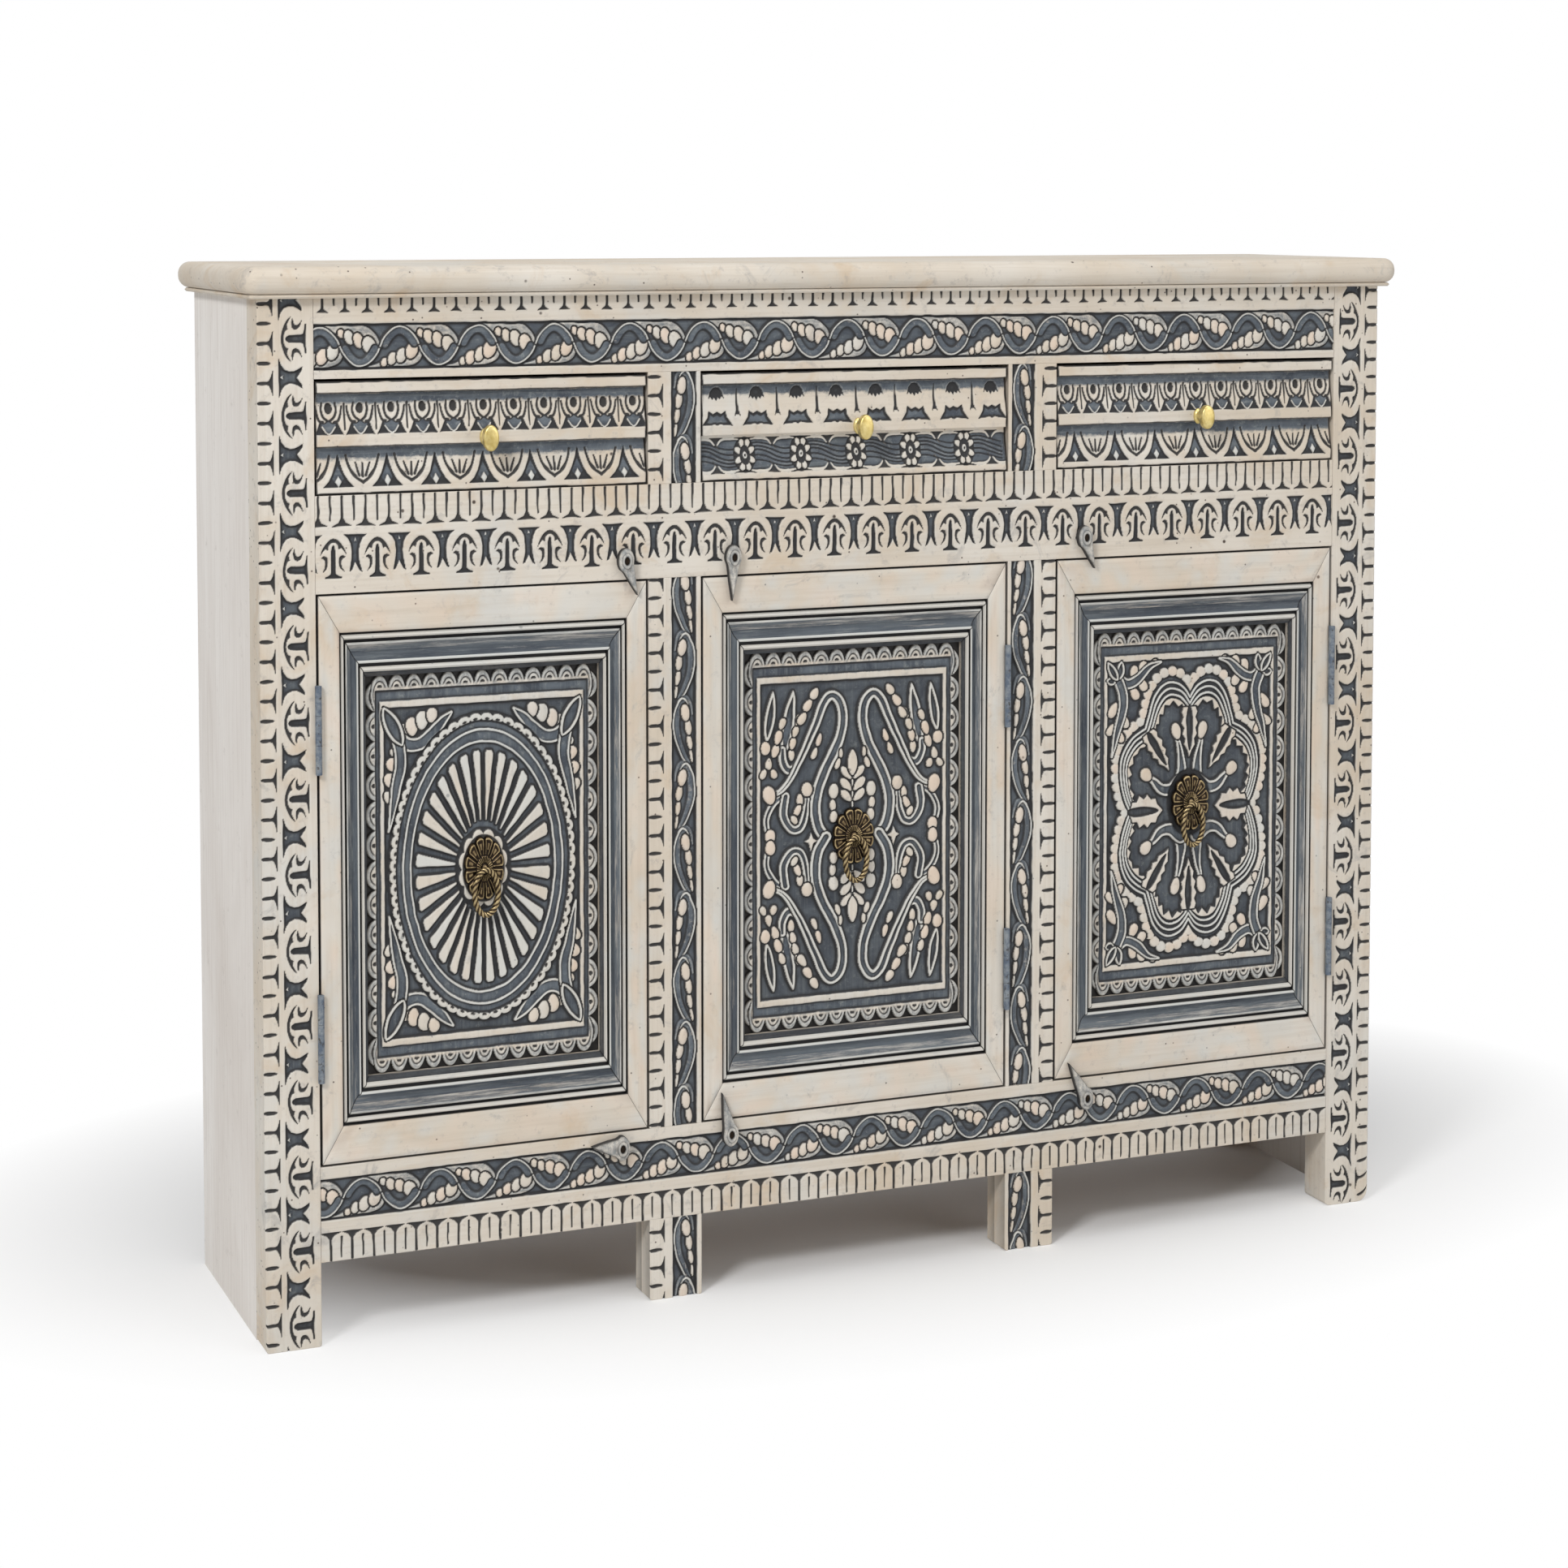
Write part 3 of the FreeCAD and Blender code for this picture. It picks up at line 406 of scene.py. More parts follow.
def vine_stem(c, bends, middle, reach, unit):
    """The stem's white line over a blue hollow, bowed up and down by turns."""
    for centre, up in bends:
        arch, inner = [], []
        for s in np.linspace(-0.5, 0.5, 17):
            rise = 0.86 * max(math.cos(math.pi * s), 0.0) ** 0.72
            arch.append((centre + s * unit, middle + up * rise * reach))
            if abs(s) < 0.5:
                inner.append((centre + s * 0.84 * unit, middle + up * (rise - 0.17) * reach))
        c.lay(stroke(arch, 3.4), RIBBON + 0.5, 0.9, 0.95, slope=CLEAN)
        c.lay(stroke(inner, 0.40 * reach), RIBBON + 0.5, 0.9, 0.9, slope=CLEAN)
        c.lay(stroke(inner, 0.29 * reach), RIBBON, 0.85, 0.05, -0.2, slope=1.2)
        c.lay(stroke(arch, 1.4), RIDGE, 0.0, 0.0, -1.0, dome=0.2, slope=CRISP)


def vine(c, b0, b1, period, phase, seed):
    """A waving stem with a leaf of petals in every bend."""
    middle, reach, unit = (b0 + b1) / 2, (b1 - b0) / 2, period / 2
    c.lay(band(c, b0, b1), GROUND, 1.0, 0.5)
    c.lay(band(c, b0 + 1.8, b1 - 1.8), GROUND - 0.2, 1.0, 0.2, slope=2.0)
    bends = []
    for k in range(-2, int((c.x[-1] - c.x[0]) / unit) + 4):
        bends.append((c.x[0] + phase + k * unit, 1 if k % 2 == 0 else -1))
    vine_leaves(c, bends, middle, reach, unit, seed)
    vine_stem(c, bends, middle, reach, unit)


# Parts of an arch, on one side of its middle, as shares of the pitch and of the height
BOW = ((0.0, 0.915), (0.06, 0.90), (0.12, 0.855), (0.18, 0.785), (0.225, 0.71), (0.26, 0.63), (0.29, 0.525),
       (0.245, 0.60), (0.185, 0.68), (0.125, 0.65), (0.105, 0.745), (0.06, 0.80), (0.0, 0.82))
HOOK = ((0.15, 0.485), (0.215, 0.505), (0.27, 0.465), (0.215, 0.432), (0.178, 0.385), (0.172, 0.30),
        (0.19, 0.21), (0.24, 0.12), (0.165, 0.185), (0.13, 0.26), (0.118, 0.35), (0.125, 0.43))
UPRIGHT_BAR = ((0.0, 0.755), (0.025, 0.72), (0.045, 0.62), (0.048, 0.40), (0.05, 0.15), (0.06, 0.07),
               (0.11, 0.025), (0.185, -0.01), (0.185, -0.035))
WEDGE = ((0.25, 1.0), (0.165, 0.915), (0.105, 0.78), (0.078, 0.60), (0.082, 0.43), (0.105, 0.28),
         (0.14, 0.11), (0.09, 0.14), (0.04, 0.245), (0.0, 0.33))
WEDGE_DOT = ((0.0, 0.93), (0.028, 0.83), (0.0, 0.86))


def arches(c, b0, b1, pitch, phase):
    """Horseshoe arches round an upright bar and two hooks, with a forked blue wedge between each two."""
    for centre in places(c, pitch, phase):
        at = placer(centre, b0, pitch, b1 - b0)
        c.lay(doubled(at, BOW), CUT, 0.45, 0.85, slope=FINE)
        for m in (-1, 1):
            c.lay(polygon([at(m * s, t) for s, t in HOOK]), CUT, 0.45, 0.9, slope=FINE)
        c.lay(doubled(at, UPRIGHT_BAR), CUT + 0.5, 0.85, 0.5, slope=CRISP)
        at = placer(centre + pitch / 2, b0, pitch, b1 - b0)
        c.lay(doubled(at, WEDGE), CUT + 0.7, 0.95, 0.3, slope=CRISP)
        c.lay(doubled(at, WEDGE_DOT), 0.7, 0.0, 0.0, -1.0, slope=FINE)


# A bend of the climbing vine: its petals with their sizes, the sway of its stem and the hood over its petals
CHAIN = ((0.12, -0.19, 4.3, 8.0), (0.38, -0.42, 3.2, 7.4), (0.49, -0.65, 2.5, 6.8), (0.62, -0.86, 1.5, 6.5))
SWAY = ((0.40, 0.0), (0.76, -0.17), (0.88, -0.36), (0.74, -0.57), (0.42, -0.75), (0.05, -0.90), (-0.40, -1.0),
        (-0.72, -1.14))
HOOD = ((0.46, -0.02), (0.18, 0.03), (-0.14, 0.0), (-0.38, -0.10), (-0.50, -0.24))


def climbing_vine(c, x0, x1, z0, z1, period, start, first_side):
    """The stem of a mid stile: it sways down a narrow blue band, with a chain of petals in every bend."""
    c.lay(bar(x0, x1, z0 - OVERRUN, z1 + OVERRUN), GROUND, 1.0, 0.5)
    c.lay(bar(x0 + 1.5, x1 - 1.5, z0 - OVERRUN, z1 + OVERRUN), GROUND - 0.2, 1.0, 0.2, slope=2.0)
    middle, reach, half = (x0 + x1) / 2, (x1 - x0) / 2, period / 2
    bends = []
    for k in range(int((start - z1) / half) - 2, int((start - z0) / half) + 2):
        side = first_side if k % 2 == 0 else -first_side
        bends.append((side, placer(middle, start - k * half, side * reach, half)))
    for side, at in bends:
        stem = smooth_path([at(s, t) for s, t in SWAY])
        inner = [(x - side * 3.4, z) for x, z in stem[:-9]]
        c.lay(stroke(stem, 3.6), RIBBON + 0.6, 0.8, 0.95, slope=CLEAN)
        c.lay(stroke(inner, 7.6, 4.0, 2.0), RIBBON + 0.6, 0.8, 0.9, slope=CLEAN)
        c.lay(stroke(inner, 5.6, 2.5, 2.0), RIBBON, 0.8, 0.0, -0.2, slope=1.2)
        c.lay(stroke(stem, 1.5), RIDGE, 0.0, 0.0, -1.0, dome=0.2, slope=CRISP)
    for side, at in bends:
        hood = smooth_path([at(s, t) for s, t in HOOD])
        shoulder = [(x - side * 2.6, z + 1.0) for x, z in hood]
        c.lay(stroke(shoulder, 4.6, 1.6), RIBBON, 0.75, 0.1, -0.2, slope=CLEAN)
        c.lay(stroke(hood, 1.6, 0.7), RIDGE, 0.0, 0.0, -1.0, dome=0.2, slope=CRISP)
        for s, t, rx, rz in reversed(CHAIN):
            c.scale(*at(-s, t), rx, rz, -8 * side, (0.7 - s) * 0.8)


# Meshes

def mesh_piece(name, verts, faces, body, materials, smooth=True, paint=None, finish=None):
    """A mesh object from arrays of corners (in millimetres) and quads or triangles; it rides on a body."""
    mesh = bpy.data.meshes.new(name)
    verts = np.asarray(verts, float) * MM
    mesh.vertices.add(len(verts))
    mesh.vertices.foreach_set("co", verts.astype(np.float32).ravel())
    groups = faces if isinstance(faces, list) else [faces]
    loops = np.concatenate([np.asarray(g).ravel() for g in groups])
    sizes = np.concatenate([np.full(len(g), np.asarray(g).shape[1]) for g in groups])
    mesh.loops.add(len(loops))
    mesh.loops.foreach_set("vertex_index", loops.astype(np.int32))
    mesh.polygons.add(len(sizes))
    mesh.polygons.foreach_set("loop_start", np.concatenate([[0], np.cumsum(sizes)[:-1]]).astype(np.int32))
    mesh.polygons.foreach_set("use_smooth", np.broadcast_to(smooth, len(sizes)).copy())
    mesh.update(calc_edges=True)
    if paint is not None:
        layer = mesh.color_attributes.new("paint", "FLOAT_COLOR", "POINT")
        layer.data.foreach_set("color", paint.astype(np.float32).ravel())
    for material in materials if isinstance(materials, tuple) else (materials,):
        mesh.materials.append(material)
    if finish is not None:
        mesh.polygons.foreach_set("material_index", np.asarray(finish, dtype=np.int32))
    made = bpy.data.objects.new(name, mesh)
    bpy.context.scene.collection.objects.link(made)
    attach(made, body)
    return made


def grid_faces(rows, cols, first=0):
    """Quads over a grid of corners, facing the front."""
    k = first + np.arange(rows * cols).reshape(rows, cols)
    return np.stack([k[:-1, :-1], k[:-1, 1:], k[1:, 1:], k[1:, :-1]], -1).reshape(-1, 4)


def hollow_shade_and_wear(depth):
    """How far each point lies below its surroundings, near and wide, for painted shade and rubbed ridges."""
    near = depth - blur(depth, max(1, round(NEAR_SHADE / PITCH)))
    wide = depth - blur(depth, max(2, round(WIDE_SHADE / PITCH)))
    return near, wide


def slab(name, front, paint, back, body, material, shade):
    """A closed board from a grid of points over its face. shade darkens its edges as painted shade in the
    gaps.
    """
    rows, cols = front.shape[:2]
    front = front.reshape(-1, 3)
    edge = np.concatenate([np.arange(cols), cols * np.arange(2, rows) - 1,
                           rows * cols - 1 - np.arange(cols), cols * np.arange(rows - 2, 0, -1)])
    lip = front[edge].copy()
    lip[:, 1] += LIP
    rim = front[edge].copy()
    rim[:, 1] = back
    count, around = len(front), len(edge)
    ring = np.arange(around)
    after = np.roll(ring, -1)
    middle = np.full(around, count + 2 * around)
    faces = [grid_faces(rows, cols),
             np.stack([edge[ring], count + ring, count + after, edge[after]], -1),
             np.stack([count + ring, count + around + ring, count + around + after, count + after], -1),
             np.stack([count + around + ring, middle, count + around + after], -1)]
    verts = np.concatenate([front, lip, rim, rim.mean(axis=0)[None]])
    # The edges, seen in the gaps between parts, are darkened by shade: painted shade
    edge_paint = np.tile([0.0, shade, 0.5, 0.0], (around, 1))
    back_paint = np.tile(BACK_PAINT, (around + 1, 1))
    smooth = np.concatenate([np.ones((rows - 1) * (cols - 1), bool), np.zeros(3 * around, bool)])
    return mesh_piece(name, verts, faces, body, material, smooth,
                      np.concatenate([paint.reshape(-1, 4), edge_paint, back_paint]))


def carved_piece(name, c, face, back, body, material, surface=None, foot=None, shade=0.4):
    """A board whose front is carved. surface gives the plain face's own depth; foot lifts its worn end."""
    rows, cols = c.depth.shape
    x = np.broadcast_to(c.x[None, :], (rows, cols))
    z = np.broadcast_to(c.z[:, None], (rows, cols))
    if foot is not None:
        low, high = c.z[0], c.z[-1]
        z = z + foot(x) * np.clip(1 - (z - low) / min(high - low, WORN_HEIGHT), 0, 1)
    plain = surface(z) if surface else 0.0
    wear = WEAR * smooth_noise((rows, cols), WEAR_LENGTH / PITCH, c.seed + 2)
    front = np.stack([x, face + plain + c.depth + np.maximum(wear, 0), z], -1)
    near, wide = hollow_shade_and_wear(c.depth)
    # Hollows are darkened more as painted shade, over the dark paint of the carving; ridges are marked as
    # rubbed
    dark = np.clip(c.dark + np.clip(near * 1.1, 0, 0.8) + np.clip(wide * 0.35, 0, 0.45), 0, 1)
    paint = np.stack([c.blue, dark, np.clip(c.warm * 0.5 + 0.5, 0, 1), np.clip(-near, 0, 1)], -1)
    return slab(name, front, paint, back, body, material, shade)


# Materials

def rgb(r, g, b):
    """A colour as a picture editor gives it, as the renderer wants it."""
    shares = (r / 255, g / 255, b / 255)
    return tuple(v / 12.92 if v <= 0.04 else ((v + 0.055) / 1.055) ** 2.4 for v in shares) + (1.0,)


# Colours of the whitewash, from its main tones to the marks on it
CREAM = rgb(217, 210, 199)
WARM_CREAM = rgb(206, 193, 175)
TAN = rgb(200, 178, 150)
COOL_WASH = rgb(203, 204, 201)
GRAIN_LINE = rgb(190, 177, 160)
GREY_SMEAR = rgb(150, 148, 146)
DUST = rgb(158, 152, 147)
NAIL_HOLE = rgb(70, 58, 50)
PINHOLE = rgb(96, 84, 76)
PEACH = rgb(224, 198, 176)
CHALK = rgb(204, 206, 203)

# Colours of the blue paint, its rubbed edges, and the near black of dirt and painted shade in the cuts
SLATE = rgb(57, 64, 74)
PALE_SLATE = rgb(94, 102, 110)
SLATE_GRAIN = rgb(120, 126, 128)
WORN_SLATE = rgb(146, 151, 150)
RUBBED_EDGE = rgb(210, 209, 203)
BLACK_OF_DIRT_AND_SHADE = rgb(24, 23, 25)

# Colours of the side boards, paler partly as painted light, and of the bare wood inside
PALE_GREY = rgb(238, 234, 229)
WARM_GREY = rgb(222, 215, 208)
GREY_GRAIN = rgb(200, 190, 181)
GREY_DUST = rgb(164, 154, 146)
BARE_WOOD = rgb(168, 136, 102)
BARE_GRAIN = rgb(128, 98, 70)
BARE_PATCH = rgb(150, 124, 98)

# Colours of the metal
BRASS_HOLLOW = rgb(38, 30, 23)
BRASS = rgb(88, 71, 49)
BRASS_RIDGE = rgb(196, 176, 132)
DULL_KNOB = rgb(196, 172, 100)
KNOB = rgb(226, 208, 146)
HINGE_BLUE = rgb(84, 96, 112)
WORN_HINGE = rgb(134, 140, 144)
HINGE_DIRT = rgb(58, 54, 52)


class Paint:
    """Builds a material's nodes."""

    def __init__(self, name):
        self.material = bpy.data.materials.new(name)
        self.material.use_nodes = True
        self.tree = self.material.node_tree
        self.shader = self.tree.nodes["Principled BSDF"]
        self.place = self.new("ShaderNodeTexCoord").outputs["Object"]

    def new(self, kind, **settings):
        made = self.tree.nodes.new(kind)
        for key, value in settings.items():
            setattr(made, key, value)
        return made

    def put(self, socket, value):
        if isinstance(value, bpy.types.NodeSocket):
            self.tree.links.new(value, socket)
        else:
            socket.default_value = value

    def stretched(self, x, y, z, shift=(0, 0, 0)):
        made = self.new("ShaderNodeMapping")
        self.put(made.inputs["Vector"], self.place)
        made.inputs["Scale"].default_value = (x, y, z)
        made.inputs["Location"].default_value = shift
        return made.outputs["Vector"]

    def noise(self, scale, vector=None, detail=4.0, roughness=0.6, distortion=0.0):
        made = self.new("ShaderNodeTexNoise")
        self.put(made.inputs["Vector"], vector or self.place)
        values = {"Scale": scale, "Detail": detail, "Roughness": roughness, "Distortion": distortion}
        for key, value in values.items():
            made.inputs[key].default_value = value
        return made.outputs["Fac"]

    def ramp(self, value, low, high, out_low=0.0, out_high=1.0):
        made = self.new("ShaderNodeMapRange")
        self.put(made.inputs["Value"], value)
        for key, number in zip(("From Min", "From Max", "To Min", "To Max"), (low, high, out_low, out_high)):
            made.inputs[key].default_value = number
        return made.outputs["Result"]

    def maths(self, operation, a, b):
        made = self.new("ShaderNodeMath", operation=operation)
        self.put(made.inputs[0], a)
        self.put(made.inputs[1], b)
        return made.outputs[0]

    def mix(self, share, a, b, blend="MIX"):
        made = self.new("ShaderNodeMix", data_type="RGBA", blend_type=blend)
        self.put(made.inputs[0], share)
        self.put(made.inputs[6], a)
        self.put(made.inputs[7], b)
        return made.outputs[2]

    def bump(self, height, strength, distance):
        made = self.new("ShaderNodeBump")
        self.put(made.inputs["Height"], height)
        made.inputs["Strength"].default_value = strength
        made.inputs["Distance"].default_value = distance
        self.put(self.shader.inputs["Normal"], made.outputs["Normal"])

    def finish(self, colour, roughness, metallic=0.0):
        self.put(self.shader.inputs["Base Color"], colour)
        self.put(self.shader.inputs["Roughness"], roughness)
        self.shader.inputs["Metallic"].default_value = metallic
        return self.material


def grain(p, along):
    """Streaks that run along one axis of the object."""
    scale = [260.0, 260.0, 260.0]
    scale["xyz".index(along)] = 9.0
    return p.noise(1.0, p.stretched(*scale), 5.0, 0.65, 0.3)


def specks(p, scale, size):
    """Small dark holes and knots, sparsely strewn."""
    dots = p.new("ShaderNodeTexVoronoi")
    p.put(dots.inputs["Vector"], p.place)
    dots.inputs["Scale"].default_value = scale
    near = p.ramp(dots.outputs["Distance"], size, size * 0.5)
    apart = p.new("ShaderNodeSeparateColor")
    p.put(apart.inputs[0], dots.outputs["Color"])
    return p.maths("MULTIPLY", near, p.ramp(apart.outputs[0], 0.80, 0.84))


def cream(p, along):
    """Whitewashed wood: pale, with warmer patches, grey wash, fine grain and old nail holes."""
    lines = grain(p, along)
    broad = p.noise(7.0, p.place, 3.0)
    fine = p.noise(95.0, p.place, 6.0, 0.72)
    colour = p.mix(p.ramp(broad, 0.36, 0.66), CREAM, WARM_CREAM)
    colour = p.mix(p.ramp(p.noise(16.0, p.place, 4.0, 0.65, 0.8), 0.56, 0.72, 0.0, 0.65), colour, TAN)
    colour = p.mix(p.ramp(p.noise(5.0, p.place, 5.0, 0.6, 1.5), 0.52, 0.70, 0.0, 0.6), colour, COOL_WASH)
    colour = p.mix(p.ramp(lines, 0.46, 0.74, 0.0, 0.45), colour, GRAIN_LINE)
    colour = p.mix(p.ramp(p.noise(24.0, p.place, 6.0, 0.7, 1.2), 0.60, 0.76, 0.0, 0.75), colour, GREY_SMEAR)
    colour = p.mix(p.ramp(fine, 0.57, 0.74, 0.0, 0.62), colour, DUST)
    colour = p.mix(specks(p, 46.0, 0.10), colour, NAIL_HOLE)
    colour = p.mix(specks(p, 130.0, 0.14), colour, PINHOLE)
    return colour, lines, fine


def painted_wood(name, along, drawn=False):
    """Carved wood: cream on the face, slate blue in the hollows, paler on the rubbed edges, near black with
    dirt and painted shade where the paint is dark. On drawn mouldings the wear runs in streaks along the
    length."""
    p = Paint(name)
    paint = p.new("ShaderNodeAttribute", attribute_name="paint")
    apart = p.new("ShaderNodeSeparateColor")
    p.put(apart.inputs[0], paint.outputs["Color"])
    blue, dark, warm = apart.outputs
    rub = paint.outputs["Alpha"]
    pale, lines, fine = cream(p, along)
    pale = p.mix(p.ramp(warm, 0.5, 1.0, 0.0, 0.55), pale, PEACH)
    pale = p.mix(p.ramp(warm, 0.5, 0.0, 0.0, 0.9), pale, CHALK)
    worn = p.noise(150.0, p.place, 6.0, 0.75)
    wash = p.noise(28.0, p.place, 6.0, 0.68, 0.8)
    if drawn:
        worn = p.noise(1.0, p.stretched(*(20.0 if a == along else 300.0 for a in "xyz")), 6.0, 0.75, 0.3)
        wash = p.noise(1.0, p.stretched(*(6.0 if a == along else 60.0 for a in "xyz")), 6.0, 0.72, 0.3)
    slate = p.mix(p.ramp(wash, 0.38, 0.62), SLATE, PALE_SLATE)
    slate = p.mix(p.ramp(lines, 0.48, 0.70, 0.0, 0.55), slate, SLATE_GRAIN)
    slate = p.mix(p.ramp(worn, 0.55, 0.74, 0.0, 0.75), slate, WORN_SLATE)
    edge = p.maths("ADD", blue, p.ramp(worn, 0.3, 0.7, -0.26, 0.26))
    edge = p.maths("ADD", edge, p.ramp(lines, 0.3, 0.7, -0.12, 0.12))
    colour = p.mix(p.ramp(edge, 0.28, 0.72), pale, slate)
    rubbed = p.maths("MULTIPLY", p.ramp(rub, 0.14, 0.8), p.ramp(worn, 0.40, 0.62, 0.15, 0.65))
    colour = p.mix(rubbed, colour, RUBBED_EDGE)
    # Dirt and painted shade in the cuts, hollows and gaps: the dark channel mixes towards near black
    dirt_and_shade_share = p.maths("MULTIPLY", dark, p.ramp(fine, 0.3, 0.7, 1.15, 0.85))
    colour = p.mix(p.ramp(dirt_and_shade_share, 0.06, 0.80, 0.0, 0.97), colour, BLACK_OF_DIRT_AND_SHADE)
    p.bump(p.maths("ADD", lines, fine), 0.45, 0.0007)
    return p.finish(colour, 0.66)


def plain_wood(name, along):
    p = Paint(name)
    colour, lines, fine = cream(p, along)
    p.bump(p.maths("ADD", lines, fine), 0.4, 0.0006)
    return p.finish(colour, 0.72)


def grey_wood(name, along):
    """Side and back boards: pale grey wash over brown wood. They are paler than the front's cream partly
    as painted light, for the light that falls on the side.
    """
    p = Paint(name)
    lines = grain(p, along)
    broad = p.noise(5.0, p.stretched(1.0, 1.0, 0.4), 5.0, 0.6, 0.7)
    fine = p.noise(60.0, p.place, 6.0, 0.72)
    colour = p.mix(p.ramp(broad, 0.35, 0.68), PALE_GREY, WARM_GREY)
    colour = p.mix(p.ramp(lines, 0.48, 0.74, 0.0, 0.45), colour, GREY_GRAIN)
    colour = p.mix(p.ramp(fine, 0.60, 0.76, 0.0, 0.4), colour, GREY_DUST)
    p.bump(p.maths("ADD", lines, fine), 0.4, 0.0007)
    return p.finish(colour, 0.78)


def raw_wood(name):
    p = Paint(name)
    lines = grain(p, "x")
    colour = p.mix(p.ramp(lines, 0.3, 0.7), BARE_WOOD, BARE_GRAIN)
    colour = p.mix(p.ramp(p.noise(8.0), 0.4, 0.7, 0.0, 0.5), colour, BARE_PATCH)
    p.bump(lines, 0.4, 0.0006)
    return p.finish(colour, 0.78)


def cast_brass(name):
    """Antique brass: nearly black in the hollows, polished on the ridges."""
    p = Paint(name)
    paint = p.new("ShaderNodeAttribute", attribute_name="paint")
    apart = p.new("ShaderNodeSeparateColor")
    p.put(apart.inputs[0], paint.outputs["Color"])
    tone = p.maths("ADD", apart.outputs[0], p.ramp(p.noise(220.0, p.place, 4.0), 0.3, 0.7, -0.18, 0.18))
    colour = p.mix(p.ramp(tone, 0.05, 0.40), BRASS_HOLLOW, BRASS)
    colour = p.mix(p.ramp(tone, 0.45, 1.0), colour, BRASS_RIDGE)
    p.bump(p.noise(600.0), 0.2, 0.0003)
    return p.finish(colour, 0.36, 0.85)


def pale_brass(name):
    p = Paint(name)
    tone = p.noise(160.0, p.place, 4.0)
    colour = p.mix(p.ramp(tone, 0.35, 0.68), DULL_KNOB, KNOB)
    p.bump(p.noise(500.0), 0.15, 0.0003)
    return p.finish(colour, 0.30, 0.7)


def smudged_paint(name):
    """Blue-grey paint worn back to cream and dirt."""
    p = Paint(name)
    colour = p.mix(p.ramp(p.noise(90.0, p.place, 5.0, 0.7), 0.42, 0.62), HINGE_BLUE, WORN_HINGE)
    colour = p.mix(p.ramp(p.noise(240.0), 0.58, 0.7), colour, HINGE_DIRT)
    p.bump(p.noise(300.0), 0.3, 0.0004)
    return p.finish(colour, 0.6)


WOOD_X = painted_wood("painted_wood_level", "x")
WOOD_Z = painted_wood("painted_wood_upright", "z")
DRAWN_X = painted_wood("painted_moulding_level", "x", True)
DRAWN_Z = painted_wood("painted_moulding_upright", "z", True)
CREAM_X = plain_wood("whitewashed_level", "x")
GREY_Z = grey_wood("greyed_side", "z")
RAW = raw_wood("raw_wood")
DARK_BRASS = cast_brass("aged_brass")
BRIGHT_BRASS = pale_brass("pale_brass")
HINGE_PAINT = smudged_paint("painted_hinge")


# Boards of the front

def rail(node, name, seed, draw):
    """A carved rail between its two tenons."""
    low, high = span(node)
    c = Carving(low[0] + TENON, high[0] - TENON, low[2], high[2], seed)
    draw(c, low[2], high[2])
    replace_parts(carved_piece(f"rail_{name}_carved", c, FRONT, high[1], "root", WOOD_X), node)


def top_rail_carving(c, foot, top):
    vine(c, foot + 7.5, foot + 47.5, 71.0, 6.0, 5)
    ticks(c, top - 12.5, top, 20.0, 8.0, 5.0, 0.5, 0.42)


def middle_rail_carving(c, foot, top):
    arches(c, foot + 14.5, foot + 51.0, 39.5, 16.0)
    ticks(c, top - 27.0, top - 1.0, 21.0, 3.0, 8.5, 0.80, 0.22)


def bottom_rail_carving(c, foot, top):
    """A vine over a row of tongues that hang from triangles."""
    vine(c, foot + 37.0, foot + 73.6, 70.0, 38.0, 6)
    edge = foot + 25.7
    pitch = 19.4
    for a in places(c, pitch, -1.0):
        m = a + pitch / 2
        wedge_cut(c, m, edge, 9.0, -3.0, -7.5, 0.378)
        c.line([(m, edge - 4), (m, foot + 1.0)], 1.8)
        c.line([(a, edge - 4.5), (a, foot + 3.0)], 1.5, 0.8)


def rails():
    rail("top_rail", "top", 11, top_rail_carving)
    rail("mid_rail", "middle", 21, middle_rail_carving)
    rail("bottom_rail", "bottom", 31, bottom_rail_carving)


# One side of the triangle in an upright's outer column, as shares of the pitch and of the column's breadth
COLUMN_POINT = ((-0.31, 0.0), (-0.16, -0.10), (-0.06, -0.22))


def t_column(c, low, high, b0, b1, pitch, phase):
    """The outer column of an upright: short pointed cuts, and longer ones that end in a triangle."""
    reach = b1 - b0
    for k in range(-1, int((high - low) / pitch) + 2):
        a = low + phase + k * pitch
        m = a + pitch / 2
        c.lay(leaf((a, b0 - 0.5), (a, b1 - 0.15 * reach), 3.0, -0.2), CUT, 0.35, 1.0, slope=CRISP)
        left = [(a + s * pitch, b1 + t * reach) for s, t in COLUMN_POINT] + [(a - 0.8, b1 - 0.42 * reach)]
        right = [(2 * a - x, z) for x, z in reversed(left)]
        c.lay(polygon(left + right), CUT + 0.3, 0.5, 0.9, slope=CRISP)
        c.lay(leaf((m, b0 - 0.5), (m, b0 + 0.86 * reach), 3.2, -0.1), CUT, 0.35, 1.0, slope=CRISP)


def worn_foot(low, high, left, right):
    """How far the foot of an upright is worn away at its two corners."""
    def rise(x):
        a = np.clip((low + left - x) / left, 0, 1)
        b = np.clip((x - high + right) / right, 0, 1)
        return left * (1 - np.sqrt(1 - a * a)) + right * (1 - np.sqrt(1 - b * b))

    return rise


def corner_post(side):
    """A corner post: arches on its outer half and a column of cuts on its inner edge."""
    node = f"front_post_{side}"
    low, high = span(node)
    x0, x1 = (low[0], high[0] - LEAF_CLEAR) if side == "left" else (low[0] + LEAF_CLEAR, high[0])
    c = Carving(x0, x1, low[2], high[2], 41)
    t = c.turned(side == "left")
    arches(t, t.z[-1] - 42.0, t.z[-1] - 19.0, 66.7, 20.5)
    t = c.turned(side == "right")
    t_column(t, low[2], high[2], t.z[0], t.z[0] + 13.8, 34.4, 24.0)
    wear = (POST_WEAR, POST_WEAR) if side == "left" else RIGHT_FOOT_WEAR
    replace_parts(carved_piece(f"post_{side}_carved", c, FRONT, high[1], "root", WOOD_Z,
                             foot=worn_foot(low[0], high[0], *wear), shade=0.0), node)


